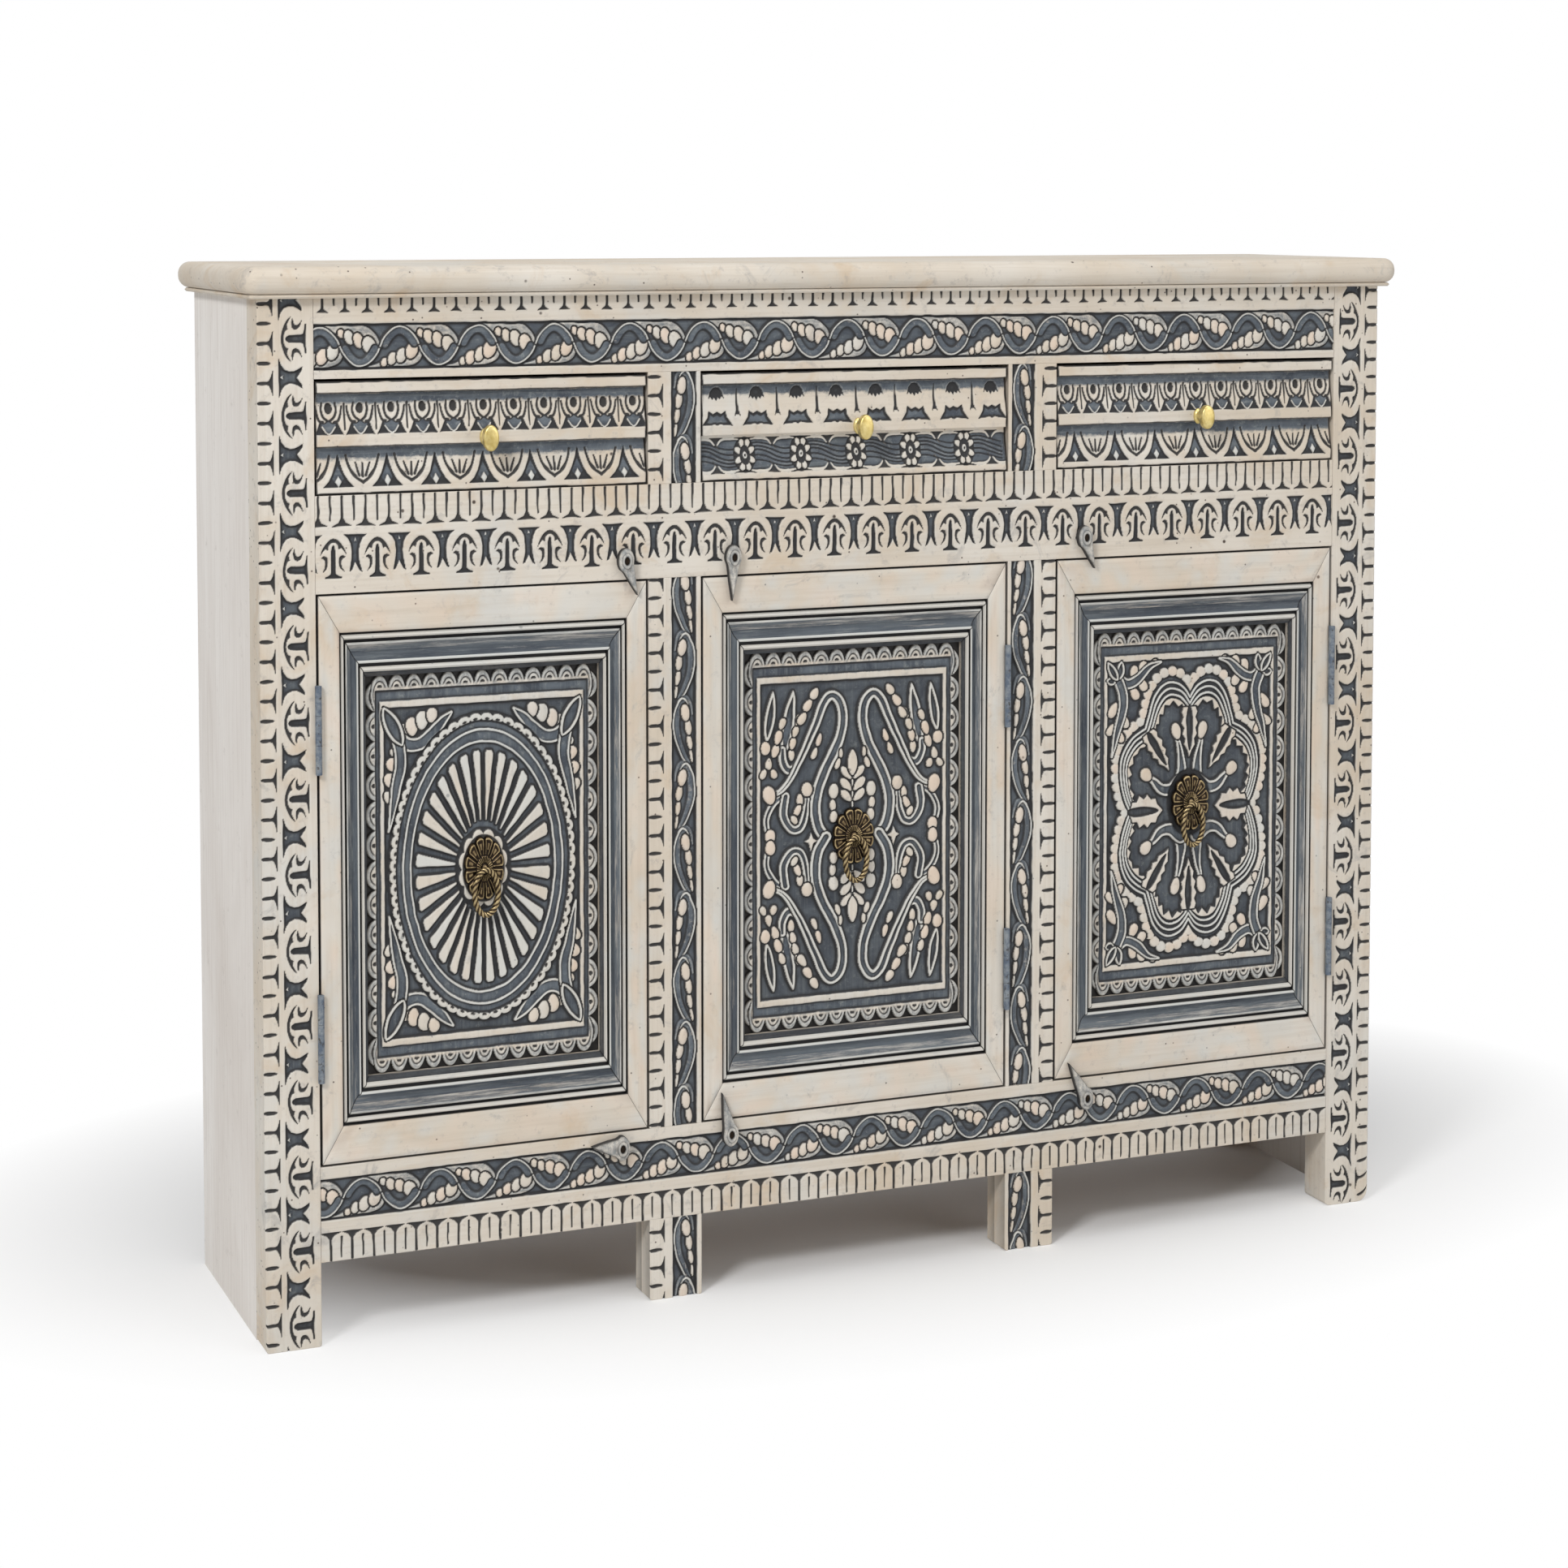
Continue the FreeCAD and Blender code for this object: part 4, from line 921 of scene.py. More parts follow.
def middle_post(side, sign, seed):
    """A middle post: one carved piece in each bay of the front, and the plain wood behind them."""
    node = f"mid_stile_{side}"
    low, high = span(node)
    x0, x1 = low[0] + LEAF_CLEAR, high[0] - LEAF_CLEAR
    inside = high[0] if side == "left" else low[0]
    strip = sorted((inside + sign * 4.5, inside + sign * 28.0))
    bays = {"foot": (low[2], span("bottom_rail")[0][2]),
            "doors": (span("bottom_rail")[1][2], span("mid_rail")[0][2]),
            "drawers": (span("mid_rail")[1][2], span("top_rail")[0][2])}
    for name, (z0, z1) in bays.items():
        c = Carving(x0, x1, z0, z1, seed)
        climbing_vine(c, *strip, z0, z1, 119.5, low[2] + 612.0, -sign)
        t = c.turned(side == "right")
        t_column(t, low[2], high[2], t.z[0], t.z[0] + 14.5, 33.4, 29.4)
        foot = worn_foot(low[0], high[0], POST_WEAR, POST_WEAR) if name == "foot" else None
        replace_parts(carved_piece(f"stile_{side}_{name}", c, FRONT, FRONT + RAIL_THICK, "root", WOOD_Z,
                                 foot=foot), node)
    c = Carving(x0, x1, low[2] + 1, high[2], 81)
    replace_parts(carved_piece(f"stile_{side}_back", c, FRONT + RAIL_THICK, high[1], "root", WOOD_Z), node)


def uprights():
    for side in ("left", "right"):
        corner_post(side)
    middle_post("left", -1, 61)
    middle_post("right", 1, 71)


# The two hollows of a drawer front: their rise above its foot, and their height
HOLLOWS = ((8.0, 33.0), (52.0, 36.0))
HOLLOW_DEPTH = 5.0


def drawer_hollows(foot_z):
    """Depth of a drawer front's two swept hollows over its height."""
    def depth(z):
        made = np.zeros_like(z)
        for rise, reach in HOLLOWS:
            share = (z - foot_z - rise) / reach
            swept = HOLLOW_DEPTH * np.sin(np.clip(share, 0, 1) * math.pi / 2) ** 1.3
            made = np.where((share > 0) & (share < 1), swept, made)
        return made

    return depth


# A lotus, on one side of its middle: two veins of its petals, the crown and the shield under its eye
LOTUS_VEINS = ((((0.21, 1.0), (0.235, 0.78), (0.17, 0.56), (0.05, 0.44)), 1.5),
               (((0.42, 0.90), (0.38, 0.66), (0.30, 0.44), (0.18, 0.40)), 1.4))
LOTUS_CROWN = ((0.46, 0.0), (0.38, 0.14), (0.29, 0.38), (0.14, 0.37), (0.0, 0.46))
LOTUS_SHIELD = ((0.0, 0.0), (0.12, 0.10), (0.25, 0.34), (0.13, 0.34), (0.0, 0.42))
LOTUS_RIM = ((-0.21, 0.24), (-0.09, 0.06), (0, 0.01), (0.09, 0.06), (0.21, 0.24))


def lotus_row(c, foot, top, pitch, phase):
    """Petals round a dark eye, with a pointed leaf between each two."""
    height = top - foot
    for centre in places(c, pitch, phase):
        at = placer(centre, foot, pitch, height)
        c.lay(oval(*at(0, 0.84), 0.115 * pitch, 0.17 * height), 2.8, 0.0, 1.0, slope=FINE)
        for m in (-1, 1):
            for vein, width in LOTUS_VEINS:
                c.line(smooth_path([at(m * s, t) for s, t in vein]), width, 2.2)
        c.lay(doubled(at, LOTUS_CROWN), 1.9, 0.8, 0.75, slope=CRISP)
        c.lay(doubled(at, LOTUS_SHIELD), 1.5, 0.9, 0.05, slope=CRISP)
        c.lay(stroke([at(s, t) for s, t in LOTUS_RIM], 1.2), 0.5, 0.0, 0.0, -0.8, slope=CRISP)
        c.line([at(0.5, 0.98), at(0.5, 0.16)], 1.7, 0.9)


# A palmette's cuts, with their lean in degrees, start and reach, and the outlines between two of them
FAN_CUTS = ((0, 8.0, 19.0), (19, 9.0, 20.5), (-19, 9.0, 20.5), (38, 10.0, 20.0), (-38, 10.0, 20.0))
FAN_BAND = ((0.165, 0.98), (0.22, 0.66), (0.32, 0.36), (0.5, 0.15))
FAN_WEDGE = ((0.0, 1.0), (0.05, 0.72), (0.12, 0.40), (0.20, 0.18), (0.31, 0.0))
FAN_LOZENGE = ((0, 0.66), (0.12, 0.28), (0, 0.0))
FAN_DOT = ((0, 0.34), (0.062, 0.17), (0, 0.0))


def fan_row(c, foot, top, pitch, phase):
    """Palmettes in round bands, with a blue triangle between each two."""
    for centre in places(c, pitch, phase):
        at = placer(centre, foot, pitch, top - foot)
        for m in (-1, 1):
            c.line(smooth_path([at(m * s, t) for s, t in FAN_BAND]), 1.6, 2.4)
        for degrees, start, reach in FAN_CUTS:
            lean = math.radians(degrees)
            away = placer(centre + pitch / 2, foot + 1.5, math.sin(lean), math.cos(lean))
            c.line([away(start, start), away(reach, reach)], 2.4, 1.0)
        c.lay(doubled(at, FAN_WEDGE), 2.2, 0.95, 0.55, slope=CLEAN)
        c.lay(doubled(at, FAN_LOZENGE), 2.0, 0.95, 0.05, slope=CLEAN)
        c.lay(doubled(at, FAN_DOT), 0.4, 0.0, 0.0, -0.9)


# Forms of the middle drawer's upper row, on one side of their middle, in millimetres over the drawer's foot
DOME = ((0, 85.0), (3, 84.2), (5.8, 81), (7.4, 75), (5.6, 76.8), (3.6, 74.2), (1.9, 76.0), (0, 73.0))
CROWN = ((0, 62.5), (4, 60.5), (8.5, 63.2), (9.6, 57.5), (14.5, 50.2), (6, 50.8), (3, 51.6), (0, 50.2))
CROWN_FIELD = ((0, 59.5), (3.4, 57.8), (6.8, 60), (7.8, 56), (10.5, 52.5), (5, 52.4), (2.4, 53.2), (0, 52.2))
SPIKE = ((0, 84), (0.9, 72), (1.2, 64), (2.8, 58.5), (1.2, 60.5), (0, 60.0))
CROWN_PITCH = 39.7

# The waving band: half the pitch of its daisies, its foot, middle and head, and its lines' shifts and
# darkness
DAISY_STEP = 27.8
WAVE_FOOT, WAVE_MIDDLE, WAVE_HEAD = 7.5, 22.5, 37.5
WAVES = ((-8, 0.4), (-4, 0.9), (0, 1.0), (4, 0.9), (8, 0.4))


def crown_row(c, centre, z):
    """Domes over spread crowns, with a thin spike between each two."""
    for k in range(-4, 4):
        at = placer(centre + (k + 0.5) * CROWN_PITCH, z)
        c.lay(doubled(at, DOME), 2.0, 0.8, 0.75, slope=CRISP)
        c.lay(doubled(at, CROWN), 2.0, 0.8, 0.8, slope=CRISP)
        c.lay(doubled(at, CROWN_FIELD), 1.8, 0.9, 0.1, slope=CRISP)
    for k in range(-3, 4):
        c.lay(doubled(placer(centre + k * CROWN_PITCH, z), SPIKE), 2.0, 0.6, 0.85, slope=CRISP)


def wave_band(c, centre, z):
    """Waving lines in a blue band, with commas that curl in from its edges."""
    c.lay(band(c, z + WAVE_FOOT, z + WAVE_HEAD), 1.8, 0.95, 0.1)
    for shift, tone in WAVES:
        height, middle = 4.5 - 0.2 * abs(shift), z + WAVE_MIDDLE + shift
        wave = [(x, middle + height * math.sin((x - centre) / DAISY_STEP * math.pi))
                for x in np.arange(c.x[0], c.x[-1], 4.0)]
        c.lay(stroke(wave, 1.2), 2.6, 0.8, tone, slope=CLEAN)
    for k in range(-6, 7):
        a = centre + k * DAISY_STEP
        wide = 10.5 if k % 2 == 0 else 6.5
        for up, edge in ((1, z + WAVE_HEAD + 1), (-1, z + WAVE_FOOT - 1)):
            for m in (-1, 1):
                at = placer(a, edge, m, -up)
                comma = smooth_path([at(1.5, 6.5), at(4.5, 2.6), at(9, 1.0), at(DAISY_STEP / 2, 0.6)])
                c.lay(stroke(comma, 1.0, 3.4), 0.5, 0.0, 0.0, -0.3, slope=CLEAN)
            at = placer(a, edge, up, -up)
            c.line(smooth_path([at(0, 3), at(0.6, 7), at(3.5, 11)]), 1.6, 0.6)
            wedge_cut(c, a, edge, wide, -up * 1.9, -up * 5.0, depth=1.8)


def daisy(c, a, z):
    """An oval flower of eight petals."""
    petals = 8
    c.lay(oval(a, z, 10.4, 16.2), 2.6, 0.8, 1.0)
    for n in range(petals):
        turn = (n + 0.5) * 2 * math.pi / petals
        x, up = 6.4 * math.cos(turn), 11.0 * math.sin(turn)
        lean = math.degrees(math.atan2(up, x)) - 90
        c.lay(oval(a + x, z + up, 2.9, 4.3, lean), 0.2, 0.0, 0.0, -0.3, dome=0.6, slope=FINE)
    c.lay(oval(a, z, 5.2, 9.0), 1.6, 0.9, 0.5, slope=CRISP)
    for n in range(petals):
        ray = placer(a, z, math.cos(2 * math.pi * n / petals), math.sin(2 * math.pi * n / petals))
        c.line([ray(2, 3.4), ray(8.6, 14.5)], 0.9, 1.2)
    c.lay(oval(a, z, 2.1, 3.4), 0.2, 0.0, 0.0, -0.8, dome=0.5, slope=FINE)
    c.lay(oval(a, z, 0.8, 1.3), 1.2, 0.0, 1.0, slope=0.6)


def middle_drawer(c, centre, z):
    """Domes and crowns above, daisies on a waving band below."""
    cove(c, z + 76, z + 87)
    crown_row(c, centre, z)
    wave_band(c, centre, z)
    for k in range(-2, 3):
        daisy(c, centre + k * 2 * DAISY_STEP, z + WAVE_MIDDLE)


def outer_drawer(c, z):
    """A row of lotus petals above, a row of palmettes below."""
    cove(c, z + 76, z + 87)
    cove(c, z + 28, z + 40.4)
    lotus_row(c, z + 52, z + 79, 28.0, 12.0)
    fan_row(c, z + 6, z + 34, 43.8, 20.0)


def cove(c, z0, z1):
    """The blue wash in the head of a hollow, rubbed away downwards."""
    c.lay(band(c, z0, z1 + 0.8), 0.0, 0.45, 0.0, slope=5.0)
    c.lay(band(c, z0 + 3.5, z1 + 0.8), 0.0, 0.95, 0.12, slope=3.2)
    # A dark line in the crease right under the strip's edge: painted shade
    c.lay(band(c, z1 + 0.1, z1 + 1.4), 0.0, 0.3, 0.9, slope=CLEAN)


def drawer_fronts():
    for side in SIDES:
        node = f"drawer_front_{side}"
        (x0, _, z0), (x1, back, z1) = span(node)
        c = Carving(x0, x1, z0, z1, 91 + SIDES.index(side))
        if side == "middle":
            middle_drawer(c, (x0 + x1) / 2, z0)
        else:
            outer_drawer(c, z0)
        low, high = z0 - OVERRUN, z1 + OVERRUN
        # A dark line round the drawer front: painted shade in the gap round it, and dirt in the joint
        for edge in (band(c, low, z0 + 0.9), band(c, z1 - 0.9, high),
                     bar(x0 - OVERRUN, x0 + 0.8, low, high), bar(x1 - 0.8, x1 + OVERRUN, low, high)):
            c.lay(edge, 1.2, 0.2, 1.0, slope=FINE)
        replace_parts(carved_piece(f"drawer_{side}_carved", c, FRONT, back, f"drawer_{side}", WOOD_X,
                                 surface=drawer_hollows(z0), shade=0.95), node)


# Doors

# The scalloped strip round a panel's field: how far its inner edge and its lobes lie from the panel's edge,
# the lobes on each side, and how far the fillet and the field lie from the edge, sideways and up
STRIP_X, STRIP_Z = 9.8, 14.5
LOBES_START = 6.0
LOBES = 13
FILLET_X, FILLET_Z = 14.0, 23.7
FIELD_X, FIELD_Z = 17.5, 29.7


def frame_bar(half_x, half_z, grow_x=0.0, grow_z=0.0):
    """A bar round the middle of a panel."""
    x, z = half_x + grow_x, half_z + grow_z
    return bar(-x, x, -z, z)


def scallop(c, x, z, rx, rz, mx, mz):
    """A half-round lobe with a cut along it and an eye, open towards the middle of the panel."""
    lobe = oval(x, z, rx, rz)
    c.lay(grown(lobe, 0.5), GROUND, 0.4, 1.0, slope=CRISP)
    c.lay(lobe, RIDGE + 0.2, 0.46, 0.0, -0.7, dome=0.3, slope=CRISP)
    c.lay(oval(x, z, 0.70 * rx + 0.6, 0.70 * rz + 0.6), 1.2, 0.5, 0.55, slope=CRISP)
    c.lay(oval(x, z, 0.70 * rx - 0.6, 0.70 * rz - 0.6), RIDGE + 0.3, 0.34, 0.0, -0.3, slope=CRISP)
    c.lay(oval(x + 0.38 * mx * rx, z + 0.38 * mz * rz, 2.2, 1.9), 2.2, 0.2, 1.0, slope=0.7)


def border(c, half_x, half_z):
    """The scalloped strip and the fillet round a panel's field. Everything outside the strip is sunk."""
    # The sunk gap round the strip, under the moulding, is painted dark: painted shade in the deep gap
    c.lay(frame_bar(half_x, half_z, 9, 9), 5.0, 0.3, 1.0)
    strip_x, strip_z = half_x - STRIP_X, half_z - STRIP_Z
    start_x, start_z = half_x - LOBES_START, half_z - LOBES_START
    for m in (-1, 1):
        for k in range(LOBES):
            z = -start_z + (k + 0.5) * 2 * start_z / LOBES
            scallop(c, m * (strip_x - 3.2), z, 12.4, 1.04 * start_z / LOBES, m, 0)
    for m in (-1, 1):
        for k in range(LOBES):
            x = -start_x + (k + 0.5) * 2 * start_x / LOBES
            scallop(c, x, m * (strip_z - 3.0), 1.04 * start_x / LOBES, 17.0, 0, m)
    c.lay(frame_bar(strip_x, strip_z), 2.4, 1.0, 0.1)
    c.lay(frame_bar(strip_x, strip_z, 0.4, 3.4), 1.0, 0.36, 0.05, 0.1, slope=2.0)
    c.lay(frame_bar(strip_x, strip_z, 0.0, 0.6), 2.4, 0.8, 0.8, slope=CRISP)
    c.lay(frame_bar(strip_x, strip_z, 0.0, -0.8), 2.4, 1.0, 0.1)
    c.lay(frame_bar(half_x - FILLET_X, half_z - FILLET_Z), 0.6, 0.1, 0.0, -0.1)
    c.lay(frame_bar(half_x - FIELD_X, half_z - FIELD_Z), GROUND, 1.0, 0.35)


def mirror(sx, sz):
    """A function that mirrors points about the middle of a panel."""
    return lambda points: [(sx * x, sz * z) for x, z in points]


QUARTERS = [mirror(sx, sz) for sz in (1, -1) for sx in (1, -1)]


def petals(c, table, m):
    """Petals from a table of their two ends, their breadth at each end and their tone."""
    for a, b, width_a, width_b, tone in table:
        c.petal(*m([a, b]), width_a, width_b, tone)


def pad_edge(c, cz, half_x, half_z):
    """The cream scalloped pad round the foot of the rosette."""
    c.lay(oval(0, cz, half_x + 6.5, half_z + 6.5), GROUND, 0.8, 1.0, slope=2.0)
    for k in range(ROSETTE_PETALS):
        turn = 2 * math.pi * (k + 0.5) / ROSETTE_PETALS
        x, z = (half_x - 1.8) * math.cos(turn), cz + (half_z - 3.2) * math.sin(turn)
        c.lay(oval(x, z, 5.6, 8.4), 1.0, 0.1, 0.0, -0.2, dome=0.4, slope=CLEAN)
    c.lay(oval(0, cz, half_x, half_z), 1.2, 0.3, 0.9, slope=CLEAN)


# Left door: the petals of a corner spray, the rim's half sizes and the rings inside it, each with its half
# sizes, depth, blue, dark and warm paint and slope
WHEEL_PETALS = (((71, 125), (73, 130), 5, 7, 0.0), ((65, 126), (65, 134), 7, 10, 0.5),
                ((56, 131), (55, 139), 7, 10.5, -0.2), ((47, 136), (46, 142), 6, 9, 0.3),
                ((79, 106), (82, 109), 5, 7, 0.0), ((80, 94), (84, 99), 7, 10, 0.9),
                ((82, 80), (86, 85), 7, 10, 0.5), ((86, 65), (88, 71), 5, 7, -0.1))
RIM_X, RIM_Z = 82.6, 134.8
WHEEL_RINGS = ((80.6, 132.2, 2.3, 0.95, 0.9, 0.0, CLEAN), (79.4, 130.6, 2.2, 0.95, 0.1, 0.0, SLOPE),
               (74.8, 124.9, RIDGE, 0.0, 0.0, -1.0, CRISP), (73.2, 122.9, 2.0, 0.95, 0.1, 0.0, SLOPE),
               (67.8, 114.0, RIDGE + 0.2, 0.0, 0.0, -1.0, CRISP), (66.2, 112, GROUND, 1.0, 0.12, 0.0, SLOPE))
SPOKES = 32
SPOKE_X, SPOKE_Z = 62.5, 105.5


def corner_sprays(c):
    """A leaf and two ribbons with petals in each corner."""
    for m in QUARTERS:
        petals(c, WHEEL_PETALS, m)
        c.ribbon(smooth_path(m([(79, 122), (69, 114.5), (58, 114.5), (47, 122.5), (38, 132.5), (29, 141)])),
                 12.5, 3.0, 1.9, 5.0)
        c.ribbon(smooth_path(m([(79, 122), (76, 107), (76, 93), (80, 76), (83, 58), (87, 38)])), 11.0, 2.0,
                 1.8, 3.0)
        c.outlined_leaf(*m([(91, 149), (74, 113)]), 15.0, 2.2, 0.05)


def spokes(c):
    """Wedge spokes that differ a little in breadth and tone."""
    rng = np.random.default_rng(3)
    step = 2 * math.pi / SPOKES
    for k in range(SPOKES):
        turn = (k + 0.5) * step
        half = 0.31 * step * rng.uniform(0.94, 1.05)
        side = ((0.40, 0.4 * half), (0.975, half), (1.0, 0.6 * half))
        ends = [(share * SPOKE_X * math.cos(turn + bend), share * SPOKE_Z * math.sin(turn + bend))
                for share, bend in [(s, -b) for s, b in side] + list(reversed(side))]
        c.lay(grown(polygon(ends), 1.3), GROUND, 1.0, 0.85, slope=1.2)
        c.lay(polygon(ends), 0.5, 0.06, 0.0, rng.uniform(-0.9, 0.1), dome=0.4)


def wheel_carving(c):
    """Left door: a wheel of wedge spokes in a scalloped rim, with a leaf spray in each corner."""
    corner_sprays(c)
    c.lay(oval(0, 0, RIM_X + 5.0, RIM_Z + 5.2), GROUND + 0.2, 0.8, 1.0, slope=1.2)
    rim = [(RIM_X * math.cos(math.pi * k / 120), RIM_Z * math.sin(math.pi * k / 120)) for k in range(241)]
    for x, z in spaced(rim, 10.6):
        lean = math.degrees(math.atan2(x * RIM_Z / RIM_X, -z * RIM_X / RIM_Z))
        c.lay(oval(x, z, 5.7, 4.0, lean), RIDGE, 0.22, 0.0, -0.5, dome=0.5, slope=CLEAN)
        c.lay(oval(x * 0.99, z * 0.99, 2.0, 1.1, lean), 1.4, 0.3, 0.8, slope=FINE)
    for rx, rz, depth, blue, dark, warm, slope in WHEEL_RINGS:
        c.lay(oval(0, 0, rx, rz), depth, blue, dark, warm, slope=slope)
    spokes(c)
    pad_edge(c, -1.2, 19.5, 30.5)


# Middle door: the main scroll of a quarter, and its petals
SCROLL = ((27, -1), (35, 12), (38, 28), (36, 44), (30, 60), (21, 77), (13, 95), (10, 112), (13, 127),
          (21, 134), (29, 128), (36, 112), (44, 95), (53, 76), (62, 60), (71, 49), (81, 44))
SCROLL_PETALS = (
    ((62, 77), (62, 83), 4, 6, 0.2), ((61, 88), (60, 94), 4, 6, 0.5), ((59, 99), (57, 105), 4, 6, 0.1),
    ((56, 110), (54, 116), 4, 5, 0.0), ((79, 82), (77, 88), 5, 7, 0.6), ((76, 94), (74, 101), 5, 7, 0.9),
    ((72, 107), (70, 113), 4, 6, 0.2), ((88, 86), (88, 90), 8, 9, 0.7), ((83, 40), (85, 48), 8, 11, 0.8),
    ((83, 2), (83, 8), 7, 9, 0.9), ((46, 45), (46, 49), 9, 10, 0.4), ((53, 41), (53, 35), 4, 6, 0.3),
    ((54, 31), (57, 25), 5, 6, 0.6), ((60, 21), (58, 18), 6, 6, 0.0), ((43, 129), (47, 123), 4, 7, 0.7),
    ((49, 117), (53, 111), 4, 7, 0.2), ((37, 139), (40, 134), 4, 7, 0.3), ((33, 97), (35, 89), 3, 5, 0.8),
    ((37, 84), (40, 77), 3, 5, 0.2), ((12, 82), (12, 76), 3, 4, 0.0), ((14, 72), (16, 66), 4, 5, 0.1),
    ((19, 41), (19, 46), 9, 9, -0.2), ((20, 33), (20, 28), 6, 6, 0.2), ((19, 22), (19, 17), 6, 7, 0.1),
    ((85, 70), (84, 77), 6, 2, 0.2), ((79, 62), (80, 66), 6, 4, 0.3), ((91, 62), (89, 66), 6, 4, 0.0))
# The leaves along the middle stem, with the heights of their root and tip and their breadth
STEM_LEAVES = ((54, 66, 7.0), (43, 55, 8.0), (33, 44, 7.5))
STAR = ((0, 6), (2.4, 0.5), (6, -2), (2.4, -4), (0, -12))


def leafy_stem(c, sz):
    """The stem over or under the rosette, with three pairs of leaves and a leaf at its tip."""
    c.raised(stroke([(0, sz * 28), (0, sz * 58)], 2.0), RIDGE + 0.4, 0.0, -0.5, slope=CRISP)
    for sx in (-1, 1):
        for root, tip, width in STEM_LEAVES:
            edge = leaf((sx * 1.5, sz * root), (sx * (width * 0.6 + 7), sz * tip), width, 0.2, 0.6)
            c.raised(edge, RIDGE + 0.3, 0.05, 0.1, dome=0.6)
    c.raised(leaf((0, sz * 57), (0, sz * 82), 10.0, -0.1, 0.7), RIDGE + 0.3, 0.05, 0.1, dome=0.6)


def scroll_carving(c):
    """Middle door: double scrolls with chains of petals, the same in all four quarters."""
    for m in QUARTERS:
        c.ribbon(smooth_path(m([(70, 43), (80, 36), (87, 22), (85, 6)])), 6.4, 5.0, 1.9)
        c.ribbon(smooth_path(m([(68, 42), (70, 24), (62, 11), (53, 12), (48, 24), (46, 42)])), 8.6, 5.6, 2.2)
        c.outlined_leaf(*m([(70, 80), (60, 141)]), 12.5, 2.3)
        c.ribbon(smooth_path(m([(52, 78), (58, 68), (66, 67), (71, 76), (71, 86)])), 9.0, 7.0, 2.3)
        c.ribbon(smooth_path(m(SCROLL)), 11.0, 5.0, 2.6)
        c.outlined_leaf(*m([(87, 94), (80, 141)]), 10.0, 2.1)
        petals(c, SCROLL_PETALS, m)
    for sz in (-1, 1):
        leafy_stem(c, sz)
    for x in (-42, 42):
        c.lay(doubled(placer(x, 0), STAR), RIDGE, 0.0, 0.0, 0.0, dome=0.5)


# Right door: the upper right quarter of the flower, its outer and its inner edge, first the upper lobe
FLOWER_OUTER = (
    ((0, 122), (6, 131), (14, 136.5), (24, 138), (34, 134.5), (42, 126), (47, 115), (50.5, 103), (54, 90)),
    ((54, 90), (63, 85), (71, 78), (78.5, 66), (82.5, 52), (82.5, 36), (80, 21), (76, 8), (71, 0)))
FLOWER_INNER = (
    ((0, 97), (4.5, 104), (11.5, 110), (21, 112), (29, 108), (35, 99), (38.5, 90), (41, 81), (43.5, 73)),
    ((43.5, 73), (54, 67.5), (62.5, 60), (68, 50), (69.5, 38), (68, 25), (64.5, 13), (61, 5), (58.5, 0)))


def flower_ring(share):
    """The flower's closed outline at a share of the way from its outer to its inner edge."""
    right = []
    for outer, inner in zip(FLOWER_OUTER, FLOWER_INNER):
        lobe = [(a + (p - a) * share, b + (q - b) * share) for (a, b), (p, q) in zip(outer, inner)]
        right += smooth_path(lobe, 3)[:-1]
    right.append((FLOWER_OUTER[1][-1][0] * (1 - share) + FLOWER_INNER[1][-1][0] * share, 0.0))
    right += mirror(1, -1)(right[-2::-1])
    return right + mirror(-1, 1)(right[-2:0:-1])


def spaced(path, step):
    """Points at even steps along a path."""
    made, left = [], 0.0
    for a, b in zip(path, path[1:]):
        length = math.dist(a, b)
        while left < length:
            t = left / length
            made.append((a[0] + (b[0] - a[0]) * t, a[1] + (b[1] - a[1]) * t))
            left += step
        left -= length
    return made


TONGUE_SIDE = ((0.40, 0.0), (0.52, 0.10), (0.40, 0.20), (0.54, 0.32), (0.38, 0.42), (0.48, 0.54),
               (0.28, 0.63), (0.34, 0.74), (0.14, 0.85), (0.0, 1.0))


def tongue(c, root, tip, width):
    """A pointed leaf with a jagged edge and a blue slot."""
    length = math.dist(root, tip)
    ux, uz = (tip[0] - root[0]) / length, (tip[1] - root[1]) / length

    def at(s, t):
        return (root[0] + ux * t * length - uz * s * width, root[1] + uz * t * length + ux * s * width)

    c.raised(doubled(at, TONGUE_SIDE), RIDGE + 0.3, 0.05, 0.2, 0.4, 1.1, 0.95, SLOPE)
    c.lay(leaf(at(0, -0.02), at(0, 0.86), 0.42 * width, -0.35), GROUND - 0.4, 1.0, 0.5, slope=CLEAN)


# The petals of a corner, the corner's leaves and the outline of a spiky leaf beside the rosette
FLOWER_PETALS = (((62, 130), (61, 141), 4, 8, 0.5), ((53, 135), (51, 145), 4, 8, 0.2),
                 ((63, 121), (59, 113), 4, 8, 0.7), ((54, 128), (50, 121), 4, 8, 0.3),
                 ((82, 106), (87, 97), 4, 8, 0.5), ((84, 86), (89, 79), 3, 7, 0.2),
                 ((76, 96), (70, 86), 4, 8, 0.0), ((79, 80), (75, 72), 4, 7, 0.6),
                 ((44, 141), (38, 147), 3, 6, 0.2))
CORNER_LEAVES = (((78, 131), (76, 149)), ((82, 129), (92, 131)), ((80, 130), (91, 149)))
SPIKES = ((66, 0), (63, 10), (58, 10), (55, 16), (50, 12.5), (46, 16.5), (42, 11.5), (37, 12), (35, 6.5),
          (29, 0))


